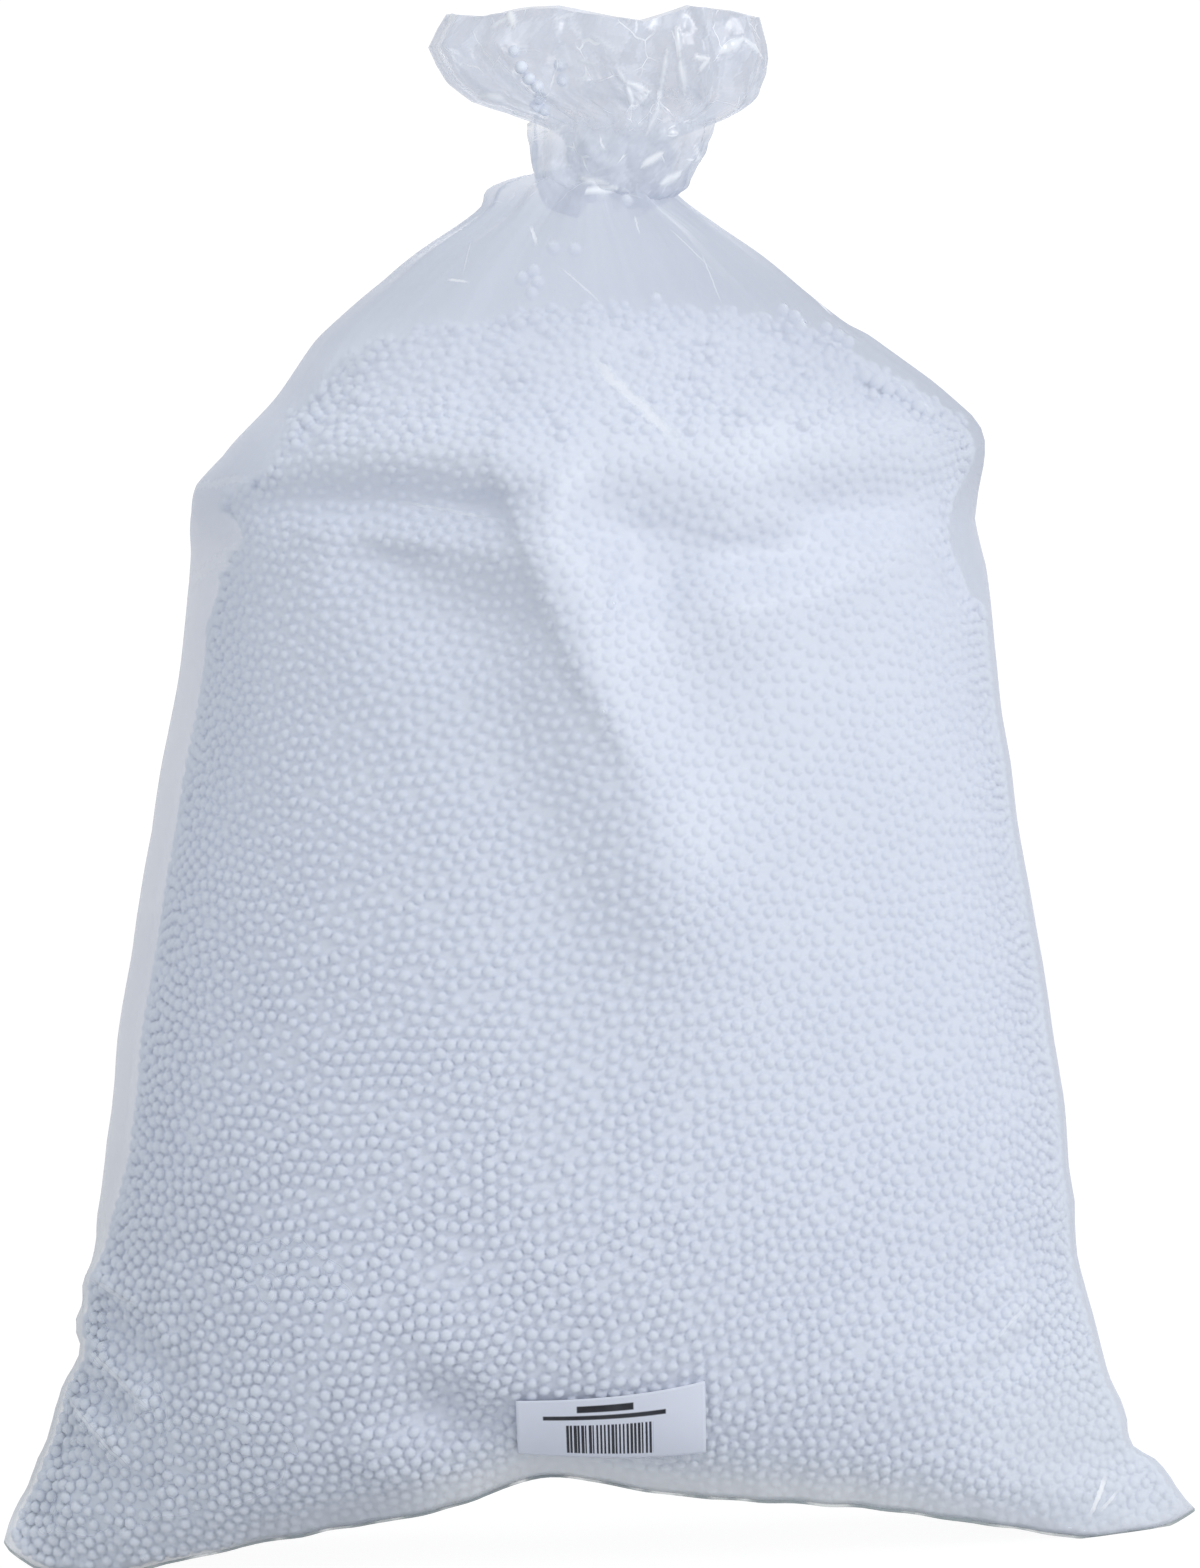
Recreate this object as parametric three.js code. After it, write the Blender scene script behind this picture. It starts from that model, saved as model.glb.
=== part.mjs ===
// A clear film bag of expanded polystyrene beads, gathered and taped at the neck.
// It stands on its two bottom corners, with the bottom weld arched up between them.
// Millimetres, +Z up, the front of the bag towards -Y, the origin on the floor under its middle.
import * as THREE from "three";

// Film
const FILM_WALL = 0.1; // thickness of the film
const CORNER_SPAN = 526; // from one bottom corner to the other
const BODY_DEPTH = 256; // front to back at the fullest height
const NECK_HEIGHT = 612; // middle of the taped neck above the floor
const NECK_WIDTH = 73;
const NECK_DEPTH = 48;
const NECK_OFFSET = 31; // the neck stands this far to the right of the middle
const CROWN_HEIGHT = 70; // loose film above the middle of the neck
const CROWN_WIDTH = 146;
const CROWN_DEPTH = 92;
const RIM_WAVE = 5; // how far the mouth's edge rises and falls

// Bottom weld, as seen from the front
const WELD_LIFT = 34; // how far the weld arches up between the feet
const PINCH_LIFT = 10; // more lift where the weld is pinched
const PINCH_X = -21;
const PINCH_WIDTH = 32;
const ARCH_FADE = 150; // height at which the arch has died out
const FOOT_LENGTH = 28; // each foot is flat for this length
const CORNER_REACH = 23; // the corner goes this far past its foot
const LEFT_CORNER_LIFT = 11; // the corners curl up past the feet
const RIGHT_CORNER_LIFT = 5;

// Fill
const BEAD_DIAMETER = 6;
const BEAD_GAP = 0.3; // clearance between fill and film
const LEFT_MARGIN = 13; // empty film at the left side fold
const RIGHT_MARGIN = 3;
const HEADROOM = 72; // from the neck down to the top of the heap
const HEAP_OFFSET = 40; // the heap peaks this far to the right of the middle
const FRONT_DROP = 67; // from the top of the heap down to where the fill leaves the film, at front and back
const LEFT_DROP = 66;
const RIGHT_DROP = 14;

// Neck tape
const TAPE_WIDTH = 10;
const TAPE_WALL = 0.4;
const TAPE_GAP = 0.3;

// Label
const LABEL_WIDTH = 84;
const LABEL_HEIGHT = 40;
const LABEL_WALL = 0.2;
const LABEL_GAP = 0.4;
const LABEL_X = 6; // middle of the label from the middle of the bag
const LABEL_RISE = 14; // lower edge of the label above the weld
const LABEL_SLOPE = 0.09; // rise of the label's edge to the right

// Shape of the body. rise is a share of the neck's height, left and right of half the corner span,
// front and back of half the depth, and fold says how pointed the side folds are (0.5 is an ellipse).
const OUTLINE = [
  { rise: 0.0, left: 1.0, right: 1.0, front: 0.58, back: 0.58, fold: 0.78 },
  { rise: 0.033, left: 0.977, right: 0.955, front: 0.73, back: 0.71, fold: 0.74 },
  { rise: 0.065, left: 0.937, right: 0.9, front: 0.82, back: 0.79, fold: 0.71 },
  { rise: 0.114, left: 0.899, right: 0.866, front: 0.9, back: 0.87, fold: 0.68 },
  { rise: 0.18, left: 0.859, right: 0.829, front: 0.96, back: 0.92, fold: 0.65 },
  { rise: 0.261, left: 0.821, right: 0.813, front: 1.0, back: 0.96, fold: 0.62 },
  { rise: 0.376, left: 0.779, right: 0.786, front: 1.02, back: 0.98, fold: 0.6 },
  { rise: 0.507, left: 0.719, right: 0.747, front: 1.02, back: 0.98, fold: 0.59 },
  { rise: 0.637, left: 0.655, right: 0.718, front: 0.99, back: 0.95, fold: 0.58 },
  { rise: 0.719, left: 0.627, right: 0.699, front: 0.95, back: 0.92, fold: 0.58 },
  { rise: 0.768, left: 0.61, right: 0.703, front: 0.91, back: 0.89, fold: 0.58 },
  { rise: 0.801, left: 0.555, right: 0.692, front: 0.86, back: 0.84, fold: 0.57 },
  { rise: 0.833, left: 0.476, right: 0.612, front: 0.77, back: 0.75, fold: 0.55 },
  { rise: 0.882, left: 0.378, right: 0.471, front: 0.6, back: 0.59, fold: 0.53 },
  { rise: 0.931, left: 0.247, right: 0.346, front: 0.4, back: 0.39, fold: 0.51 },
  { rise: 0.964, left: 0.14, right: 0.258, front: 0.27, back: 0.26, fold: 0.5 },
  { rise: 0.98, left: 0.1, right: 0.24, front: 0.215, back: 0.21, fold: 0.5 },
];

// Folds pressed into the panels, each along a line from one place to another. A place is a share of half the
// corner span and a share of the neck's height. depth is in millimetres, outwards where it is positive.
const FRONT_FOLDS = [
  { from: [-0.08, 0.755], to: [0.17, 0.461], depth: 10, width: 30 }, // keel down the middle
  { from: [-0.2, 0.68], to: [-0.03, 0.5], depth: -4, width: 28 }, // hollow left of the keel
  { from: [-0.57, 0.763], to: [-0.11, 0.751], depth: -13, width: 13 }, // tuck under the left shoulder
  { from: [-0.5, 0.799], to: [-0.14, 0.794], depth: 8, width: 16 }, // roll above that tuck
  { from: [-0.32, 0.706], to: [-0.07, 0.667], depth: -6, width: 14 }, // small tuck below it
  { from: [0.1, 0.735], to: [0.36, 0.701], depth: -11, width: 15 }, // dent right of the keel
  { from: [0.42, 0.737], to: [0.68, 0.748], depth: -9, width: 13 }, // tuck under the right shoulder
  { from: [0.28, 0.673], to: [0.62, 0.7], depth: 4, width: 15 }, // roll below it
  { from: [-0.19, 0.059], to: [-0.3, 0.123], depth: -9, width: 14 }, // crease up from the pinched weld
  { from: [-0.55, 0.088], to: [-0.4, 0.157], depth: 5, width: 40 }, // swell of the left foot
  { from: [0.62, 0.157], to: [0.74, 0.206], depth: -4, width: 14 }, // crease over the right foot
];
const BACK_FOLDS = [
  { from: [-0.45, 0.745], to: [-0.05, 0.735], depth: -8, width: 15 },
  { from: [0.1, 0.716], to: [0.55, 0.735], depth: -9, width: 16 },
  { from: [0.05, 0.686], to: [-0.1, 0.392], depth: 6, width: 34 },
  { from: [0.1, 0.078], to: [0.28, 0.147], depth: -6, width: 16 },
];

// The heap above the fill line: share of the way in from the film to the peak, and share of the climb to it.
const HEAP_SHAPE = [
  { share: 0.0, climb: 0.0 },
  { share: 0.15, climb: 0.35 },
  { share: 0.3, climb: 0.72 },
  { share: 0.45, climb: 0.91 },
  { share: 0.6, climb: 0.97 },
  { share: 0.8, climb: 1.0 },
];

// Pleats gathered into the neck: depth and pleat are shares of the section's radius, shift is in millimetres.
const PLEATS = 12;
const PLEAT_SWAY = 1.1; // uneven spacing of the pleats
const PLEAT_DEPTHS = [
  { rise: 0.8, depth: 0 },
  { rise: 0.88, depth: 0.05 },
  { rise: 0.94, depth: 0.18 },
  { rise: 0.99, depth: 0.7 },
];
const CROWN_SHAPE = [
  { climb: 0.0, spread: 0.0, shift: 0, pleat: 0.7 },
  { climb: 0.17, spread: 0.36, shift: 7, pleat: 0.54 },
  { climb: 0.31, spread: 0.74, shift: 1, pleat: 0.42 },
  { climb: 0.45, spread: 0.93, shift: -4, pleat: 0.34 },
  { climb: 0.65, spread: 1.0, shift: -7, pleat: 0.27 },
  { climb: 1.0, spread: 0.9, shift: -8, pleat: 0.22 },
];

// Loose beads held to the inside of the film by static, each behind a pleat: which pleat, and how far up
// the cone or the crown.
const CONE_BEADS = [
  { pleat: -4, climb: 0.84 },
  { pleat: -4, climb: 0.73 },
  { pleat: -5, climb: 0.76 },
  { pleat: -5, climb: 0.64 },
  { pleat: -3, climb: 0.6 },
  { pleat: -2, climb: 0.3 },
  { pleat: 2, climb: 0.5 },
  { pleat: 4, climb: 0.65 },
];
const CROWN_BEADS = [
  { pleat: -5, climb: 0.45 },
  { pleat: -5, climb: 0.62 },
  { pleat: -5, climb: 0.8 },
  { pleat: -4, climb: 0.42 },
  { pleat: -4, climb: 0.6 },
  { pleat: 3, climb: 0.5 },
];
const BEAD_REST = 0.5; // clearance between a loose bead and the film

// Mesh steps
const COLUMNS = 72; // round the bag, a multiple of four
const BODY_RISES = [
  0.0, 0.016, 0.036, 0.062, 0.098, 0.144, 0.196, 0.261, 0.335, 0.408, 0.482, 0.556, 0.621, 0.673, 0.711,
];
const SHOULDER_STEPS = 4;
const CONE_SHARES = [0.12, 0.28, 0.48, 0.68, 0.84, 0.95, 1];
const NECK_STEPS = 2;
const CROWN_STEPS = 6;
const BASE_STEPS = 3;

const HALF_SPAN = CORNER_SPAN / 2;
const HALF_DEPTH = BODY_DEPTH / 2;
const FOOT_OUTER = HALF_SPAN - CORNER_REACH;
const FOOT_INNER = FOOT_OUTER - FOOT_LENGTH;
const NECK_FOOT = NECK_HEIGHT - TAPE_WIDTH / 2;
const HEAP_TOP = NECK_HEIGHT - HEADROOM;

// A smooth curve through rows of numbers, read at any place between them.
function curveThrough(rows, along, names) {
  const places = rows.map((row) => row[along]);
  const values = rows.flatMap((row) => names.map((name) => row[name]));
  const curve = new THREE.CubicInterpolant(places, values, names.length);
  return (place) => {
    const found = curve.evaluate(THREE.MathUtils.clamp(place, places[0], places.at(-1)));
    return Object.fromEntries(names.map((name, i) => [name, found[i]]));
  };
}

const neckRow = {
  rise: NECK_FOOT / NECK_HEIGHT,
  left: (NECK_WIDTH / 2 - NECK_OFFSET) / HALF_SPAN,
  right: (NECK_WIDTH / 2 + NECK_OFFSET) / HALF_SPAN,
  front: NECK_DEPTH / 2 / HALF_DEPTH,
  back: NECK_DEPTH / 2 / HALF_DEPTH,
  fold: 0.5,
};
const outlineAt = curveThrough([...OUTLINE, neckRow], "rise", ["left", "right", "front", "back", "fold"]);
const pleatAt = curveThrough(PLEAT_DEPTHS, "rise", ["depth"]);
const crownAt = curveThrough(CROWN_SHAPE, "climb", ["spread", "shift", "pleat"]);

// Height of the bottom weld above the floor.
function weldLift(x) {
  const reach = Math.abs(x);
  if (reach < FOOT_INNER) {
    const arch = WELD_LIFT * Math.cos((Math.PI / 2) * (reach / FOOT_INNER));
    return arch + PINCH_LIFT * Math.exp(-(((x - PINCH_X) / PINCH_WIDTH) ** 2));
  }
  const curl = Math.max(0, (reach - FOOT_OUTER) / (HALF_SPAN - FOOT_OUTER));
  return (x < 0 ? LEFT_CORNER_LIFT : RIGHT_CORNER_LIFT) * curl ** 2;
}

// How far the folds push a panel outwards at a place on it.
function foldPush(folds, x, z) {
  const place = new THREE.Vector2(x, z);
  const nearest = new THREE.Vector2();
  return folds.reduce((sum, fold) => {
    const start = new THREE.Vector3(fold.from[0] * HALF_SPAN, fold.from[1] * NECK_HEIGHT, 0);
    const end = new THREE.Vector3(fold.to[0] * HALF_SPAN, fold.to[1] * NECK_HEIGHT, 0);
    const line = new THREE.Line3(start, end);
    const found = line.closestPointToPoint(new THREE.Vector3(x, z, 0), true, new THREE.Vector3());
    nearest.set(found.x, found.y);
    return sum + fold.depth * Math.exp(-((place.distanceTo(nearest) / fold.width) ** 2));
  }, 0);
}

// 0 on the crest of a pleat and 1 in its valley.
function pleatWave(turn) {
  return 0.5 - 0.5 * Math.cos(PLEATS * turn + PLEAT_SWAY * Math.sin(2 * turn));
}

// The turn at which a pleat is deepest.
function pleatTurn(pleat) {
  let turn = 0;
  for (let pass = 0; pass < 8; pass++) {
    turn = ((2 * pleat + 1) * Math.PI - PLEAT_SWAY * Math.sin(2 * turn)) / PLEATS;
  }
  return turn;
}

// A point of the film below the neck, at a height and a turn about the bag. Turn 0 is the right side fold.
function bodyPoint(height, turn) {
  const rise = height / NECK_HEIGHT;
  const shape = outlineAt(rise);
  const middle = ((shape.right - shape.left) / 2) * HALF_SPAN;
  const halfWidth = ((shape.right + shape.left) / 2) * HALF_SPAN;
  const across = Math.cos(turn);
  const out = Math.abs(Math.sin(turn)) < 1e-9 ? 0 : Math.sin(turn);
  const isFront = out < 0;
  const x = middle + halfWidth * across;
  const reach = (isFront ? shape.front : shape.back) * HALF_DEPTH * Math.abs(out) ** (2 * shape.fold);
  const push = foldPush(isFront ? FRONT_FOLDS : BACK_FOLDS, x, height) * Math.abs(out);
  const fade = 1 - THREE.MathUtils.smoothstep(height, 0, ARCH_FADE);
  const pull = 1 - pleatAt(rise).depth * pleatWave(turn);
  return new THREE.Vector3(
    middle + (x - middle) * pull,
    Math.sign(out) * (reach + push) * pull,
    height + weldLift(x) * fade,
  );
}

// A point of the film from the neck up. climb runs from 0 at the tape to 1 at the mouth.
function crownPoint(climb, turn) {
  const shape = crownAt(climb);
  const pull = 1 - shape.pleat * pleatWave(turn);
  const halfWidth = THREE.MathUtils.lerp(NECK_WIDTH, CROWN_WIDTH, shape.spread) / 2;
  const halfDepth = THREE.MathUtils.lerp(NECK_DEPTH, CROWN_DEPTH, shape.spread) / 2;
  const rim = RIM_WAVE * (Math.cos(3 * turn + 1) + 0.6 * Math.cos(7 * turn) - 1.6);
  const low = NECK_HEIGHT + TAPE_WIDTH / 2;
  const high = NECK_HEIGHT + CROWN_HEIGHT + rim / 2;
  return new THREE.Vector3(
    NECK_OFFSET + shape.shift + halfWidth * Math.cos(turn) * pull,
    halfDepth * Math.sin(turn) * pull,
    THREE.MathUtils.lerp(low, high, climb),
  );
}

// Height at which the fill leaves the film.
function fillLine(turn) {
  const side = (LEFT_DROP + RIGHT_DROP) / 2;
  const lean = (LEFT_DROP - RIGHT_DROP) / 2;
  const middle = (FRONT_DROP + side) / 2;
  const drop = middle - lean * Math.cos(turn) - (FRONT_DROP - middle) * Math.cos(2 * turn);
  return HEAP_TOP - drop;
}

const turnOf = (column) => (2 * Math.PI * column) / COLUMNS;
const steps = (count) => Array.from({ length: count }, (_, i) => (i + 1) / count);

// The rows of the film's outer face, from the bottom edge to the mouth. Each gives a point for a turn.
const bodyRows = BODY_RISES.map((rise) => (turn) => bodyPoint(rise * NECK_HEIGHT, turn));
const shoulderStart = BODY_RISES.at(-1) * NECK_HEIGHT;
const shoulderRows = steps(SHOULDER_STEPS).map(
  (share) => (turn) => bodyPoint(THREE.MathUtils.lerp(shoulderStart, fillLine(turn), share), turn),
);
const coneRows = CONE_SHARES.map(
  (share) => (turn) => bodyPoint(THREE.MathUtils.lerp(fillLine(turn), NECK_FOOT, share), turn),
);
const neckRows = steps(NECK_STEPS).map((share) => (turn) => {
  const point = crownPoint(0, turn);
  return point.setZ(NECK_FOOT + share * TAPE_WIDTH);
});
const crownRows = steps(CROWN_STEPS).map((climb) => (turn) => crownPoint(climb, turn));
const filledRows = [...bodyRows, ...shoulderRows];
const filmRows = [...filledRows, ...coneRows, ...neckRows, ...crownRows];

// The film's outer face as points and triangles: rings of columns, then the base between its two edges.
function skinOf(rows) {
  const turns = rows.flatMap(() => Array.from({ length: COLUMNS }, (_, column) => turnOf(column)));
  const points = turns.map((turn, i) => rows[Math.floor(i / COLUMNS)](turn));
  const triangles = [];
  const ring = (row, column) => row * COLUMNS + (column % COLUMNS);
  const quad = (a, b, c, d) => triangles.push(a, b, c, a, c, d);
  for (let row = 0; row + 1 < rows.length; row++) {
    for (let column = 0; column < COLUMNS; column++) {
      quad(ring(row, column), ring(row, column + 1), ring(row + 1, column + 1), ring(row + 1, column));
    }
  }
  // Across the base, column by column from the right corner to the left one.
  const half = COLUMNS / 2;
  const across = [];
  for (let column = 1; column < half; column++) {
    const back = points[column];
    const front = points[COLUMNS - column];
    const inner = steps(BASE_STEPS)
      .slice(0, -1)
      .map((share) => {
        turns.push(turnOf(column));
        return points.push(back.clone().lerp(front, share)) - 1;
      });
    across.push([column, ...inner, COLUMNS - column]);
  }
  for (let strip = 0; strip + 1 < across.length; strip++) {
    for (let i = 0; i < BASE_STEPS; i++) {
      quad(across[strip][i], across[strip][i + 1], across[strip + 1][i + 1], across[strip + 1][i]);
    }
  }
  for (let i = 0; i < BASE_STEPS; i++) {
    triangles.push(0, across[0][i + 1], across[0][i]);
    triangles.push(half, across.at(-1)[i], across.at(-1)[i + 1]);
  }
  return { points, turns, triangles, rim: (column) => ring(rows.length - 1, column) };
}

function geometryOf(points, triangles) {
  const geometry = new THREE.BufferGeometry().setFromPoints(points);
  return geometry.setIndex(triangles);
}

// The film's outer face, and where a line from a place first meets its facets.
const filmSkin = skinOf(filmRows);
const filmFace = new THREE.Mesh(
  geometryOf(filmSkin.points, filmSkin.triangles),
  new THREE.MeshBasicMaterial({ side: THREE.DoubleSide }),
);

function meetFilm(from, direction) {
  return new THREE.Raycaster(from, direction).intersectObject(filmFace)[0].point;
}

// The points moved inwards, square to the surface.
function inset(skin, distance) {
  const geometry = geometryOf(skin.points, skin.triangles);
  geometry.computeVertexNormals();
  const normals = geometry.getAttribute("normal");
  return skin.points.map((point, i) =>
    point.clone().addScaledVector(new THREE.Vector3().fromBufferAttribute(normals, i), -distance),
  );
}

// The film: its outer face, the same face one wall further in, and the edge of the open mouth.
function filmGeometry() {
  const skin = filmSkin;
  const count = skin.points.length;
  const inner = [];
  for (let i = 0; i < skin.triangles.length; i += 3) {
    const [a, b, c] = skin.triangles.slice(i, i + 3);
    inner.push(count + a, count + c, count + b);
  }
  const edge = [];
  for (let column = 0; column < COLUMNS; column++) {
    const [a, b] = [skin.rim(column), skin.rim(column + 1)];
    edge.push(a, b, count + b, a, count + b, count + a);
  }
  return geometryOf([...skin.points, ...inset(skin, FILM_WALL)], [...skin.triangles, ...inner, ...edge]);
}

// The fill: it lies against the film up to the fill line, clear of the side folds, and heaps up to a peak.
function fillGeometry() {
  const skin = skinOf(filledRows);
  const points = inset(skin, FILM_WALL + BEAD_GAP);
  points.forEach((point, i) => {
    const across = Math.cos(skin.turns[i]);
    point.x -= Math.sign(across) * (across < 0 ? LEFT_MARGIN : RIGHT_MARGIN) * Math.abs(across) ** 12;
  });
  const triangles = [...skin.triangles];
  const line = points.slice((filledRows.length - 1) * COLUMNS, filledRows.length * COLUMNS);
  const peak = new THREE.Vector3(HEAP_OFFSET, 0, HEAP_TOP);
  let ring = Array.from({ length: COLUMNS }, (_, column) => skin.rim(column));
  for (const { share, climb } of HEAP_SHAPE.slice(1)) {
    const next = line.map((point) => {
      const height = THREE.MathUtils.lerp(point.z, peak.z, climb);
      return points.push(point.clone().lerp(peak, share).setZ(height)) - 1;
    });
    ring.forEach((a, column) => {
      const b = ring[(column + 1) % COLUMNS];
      const [c, d] = [next[(column + 1) % COLUMNS], next[column]];
      triangles.push(a, b, c, a, c, d);
    });
    ring = next;
  }
  const top = points.push(peak) - 1;
  ring.forEach((a, column) => triangles.push(a, ring[(column + 1) % COLUMNS], top));
  return geometryOf(points, triangles);
}

// The tape round the neck: an oval band.
function tapeGeometry() {
  const oval = (target, clearance) =>
    target.absellipse(0, 0, NECK_WIDTH / 2 + clearance, NECK_DEPTH / 2 + clearance, 0, 2 * Math.PI);
  const band = oval(new THREE.Shape(), TAPE_GAP + TAPE_WALL);
  band.holes.push(oval(new THREE.Path(), TAPE_GAP));
  return new THREE.ExtrudeGeometry(band, { depth: TAPE_WIDTH, bevelEnabled: false, curveSegments: 24 });
}

// The label: a thin sheet laid over the front of the film, just above the weld.
function labelGeometry() {
  const [wide, high] = [22, 10];
  const finest = 0.5;
  const onFilm = ({ x, z }) => meetFilm(new THREE.Vector3(x, -BODY_DEPTH, z), new THREE.Vector3(0, 1, 0));
  const frontAt = (x, height) => {
    const shape = outlineAt(height / NECK_HEIGHT);
    const middle = ((shape.right - shape.left) / 2) * HALF_SPAN;
    const halfWidth = ((shape.right + shape.left) / 2) * HALF_SPAN;
    return bodyPoint(height, 2 * Math.PI - Math.acos((x - middle) / halfWidth));
  };
  // Walks up the film from a height until it has gone a distance along it.
  const climb = (x, height, distance) => {
    let point = frontAt(x, height);
    for (let gone = 0; gone < distance; ) {
      const next = frontAt(x, height + finest);
      gone += next.distanceTo(point);
      [point, height] = [next, height + finest];
    }
    return height;
  };
  const points = [];
  for (let column = 0; column <= wide; column++) {
    const along = (column / wide - 0.5) * LABEL_WIDTH;
    for (let row = 0; row <= high; row++) {
      const up = LABEL_RISE + (along + LABEL_WIDTH / 2) * LABEL_SLOPE + (row / high) * LABEL_HEIGHT;
      points.push(onFilm(frontAt(LABEL_X + along, climb(LABEL_X + along, 0, up))));
    }
  }
  const triangles = [];
  const at = (column, row) => column * (high + 1) + row;
  for (let column = 0; column < wide; column++) {
    for (let row = 0; row < high; row++) {
      const [a, b] = [at(column, row), at(column + 1, row)];
      const [c, d] = [at(column + 1, row + 1), at(column, row + 1)];
      triangles.push(a, b, c, a, c, d);
    }
  }
  const sheet = { points, triangles };
  const outer = inset(sheet, -(LABEL_GAP + LABEL_WALL));
  const inner = inset(sheet, -LABEL_GAP);
  const count = points.length;
  const back = [];
  for (let i = 0; i < triangles.length; i += 3) {
    back.push(count + triangles[i], count + triangles[i + 2], count + triangles[i + 1]);
  }
  const border = [
    ...Array.from({ length: wide }, (_, i) => at(i, 0)),
    ...Array.from({ length: high }, (_, i) => at(wide, i)),
    ...Array.from({ length: wide }, (_, i) => at(wide - i, high)),
    ...Array.from({ length: high }, (_, i) => at(0, high - i)),
  ];
  const edge = border.flatMap((b, i) => {
    const a = border[(i + 1) % border.length];
    return [a, b, count + b, a, count + b, count + a];
  });
  return geometryOf([...outer, ...inner], [...triangles, ...back, ...edge]);
}

// Where a loose bead sits: against the inside of the film, square to it.
function beadPlace(surface, turn, climb) {
  const nudge = 0.01;
  const point = surface(climb, turn);
  const round = surface(climb, turn + nudge).sub(surface(climb, turn - nudge));
  const up = surface(climb + nudge, turn).sub(surface(climb - nudge, turn));
  const outward = round.cross(up).normalize();
  const met = meetFilm(point.addScaledVector(outward, -2 * BEAD_DIAMETER), outward);
  return met.addScaledVector(outward, -(FILM_WALL + BEAD_REST + BEAD_DIAMETER / 2));
}

const conePoint = (climb, turn) => bodyPoint(THREE.MathUtils.lerp(fillLine(turn), NECK_FOOT, climb), turn);

const film = new THREE.MeshStandardMaterial({ color: 0xc4cede, roughness: 0.15, metalness: 0 });
film.transparent = true;
film.opacity = 0.35;
const beads = new THREE.MeshStandardMaterial({ color: 0xe4e9f2, roughness: 0.85, metalness: 0 });
const paper = new THREE.MeshStandardMaterial({ color: 0xdfe3ee, roughness: 0.6, metalness: 0 });
const tape = new THREE.MeshStandardMaterial({ color: 0xd2d9e4, roughness: 0.2, metalness: 0 });
tape.transparent = true;
tape.opacity = 0.5;

const bag = new THREE.Group();

function add(name, geometry, material) {
  const mesh = new THREE.Mesh(geometry, material);
  mesh.name = name;
  bag.add(mesh);
  return mesh;
}

const filmBag = add("film_bag", filmGeometry(), film);
add("bead_fill", fillGeometry(), beads);
add("label", labelGeometry(), paper);
add("neck_tape", tapeGeometry(), tape).position.set(NECK_OFFSET, 0, NECK_FOOT);

const looseBeads = [
  ...CONE_BEADS.map((bead) => beadPlace(conePoint, pleatTurn(bead.pleat), bead.climb)),
  ...CROWN_BEADS.map((bead) => beadPlace(crownPoint, pleatTurn(bead.pleat), bead.climb)),
];
looseBeads.forEach((place, i) => {
  const name = "loose_bead_" + String(i + 1).padStart(2, "0");
  add(name, new THREE.IcosahedronGeometry(BEAD_DIAMETER / 2, 1), beads).position.copy(place);
});

// The origin lies under the middle of the film.
filmBag.geometry.computeBoundingBox();
const middle = filmBag.geometry.boundingBox.getCenter(new THREE.Vector3());
bag.children.forEach((mesh) => mesh.position.sub(new THREE.Vector3(middle.x, middle.y, 0)));

export default bag;
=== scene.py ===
import math

import bmesh
import bpy
import numpy as np
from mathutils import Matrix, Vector, geometry, noise
from mathutils.bvhtree import BVHTree
from mathutils.kdtree import KDTree


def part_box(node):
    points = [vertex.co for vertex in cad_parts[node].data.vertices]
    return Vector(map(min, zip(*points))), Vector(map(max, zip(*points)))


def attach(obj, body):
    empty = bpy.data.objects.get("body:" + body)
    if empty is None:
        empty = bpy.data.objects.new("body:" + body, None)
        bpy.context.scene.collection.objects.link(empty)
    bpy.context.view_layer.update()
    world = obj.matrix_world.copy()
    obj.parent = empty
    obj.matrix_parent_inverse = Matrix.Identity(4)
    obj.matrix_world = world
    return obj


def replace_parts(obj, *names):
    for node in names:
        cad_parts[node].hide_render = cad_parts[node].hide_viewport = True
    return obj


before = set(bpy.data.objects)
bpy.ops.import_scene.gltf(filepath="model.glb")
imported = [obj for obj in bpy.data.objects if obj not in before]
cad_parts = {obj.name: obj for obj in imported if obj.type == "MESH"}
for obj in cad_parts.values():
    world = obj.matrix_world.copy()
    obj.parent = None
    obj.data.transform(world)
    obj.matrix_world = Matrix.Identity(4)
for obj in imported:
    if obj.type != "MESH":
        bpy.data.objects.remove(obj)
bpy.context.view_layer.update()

scene = bpy.context.scene
rng = np.random.default_rng(11)
mm = 0.001


# Shader graphs

class Wire:
    # A socket that can be added, multiplied and mixed like a number.
    def __init__(self, graph, socket):
        self.graph = graph
        self.socket = socket

    def math(self, operation, *others, swap=False):
        ends = [*others, self] if swap else [self, *others]
        values = {i: end for i, end in enumerate(ends)}
        return self.graph.node("ShaderNodeMath", {"operation": operation}, values).out()

    def __add__(self, other):
        return self.math("ADD", other)

    def __radd__(self, other):
        return self.math("ADD", other)

    def __sub__(self, other):
        return self.math("SUBTRACT", other)

    def __rsub__(self, other):
        return self.math("SUBTRACT", other, swap=True)

    def __mul__(self, other):
        return self.math("MULTIPLY", other)

    def __rmul__(self, other):
        return self.math("MULTIPLY", other)

    def __pow__(self, other):
        return self.math("POWER", other)

    def __lt__(self, other):
        return self.math("LESS_THAN", other)

    def above(self, edge):
        return self.math("GREATER_THAN", edge)

    def least(self, other):
        return self.math("MINIMUM", other)

    def most(self, other):
        return self.math("MAXIMUM", other)

    def ramp(self, low, high, start=0.0, end=1.0):
        values = {"Value": self, "From Min": low, "From Max": high, "To Min": start, "To Max": end}
        return self.graph.node("ShaderNodeMapRange", {"interpolation_type": "SMOOTHSTEP"}, values).out()

    def mix(self, first, second):
        settings = {"data_type": "RGBA"}
        return self.graph.node("ShaderNodeMix", settings, {0: self, 6: first, 7: second}).out(2)


class Step:
    # A node of a graph.
    def __init__(self, graph, made):
        self.graph = graph
        self.made = made

    def out(self, which=0):
        return Wire(self.graph, self.made.outputs[which])


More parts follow.
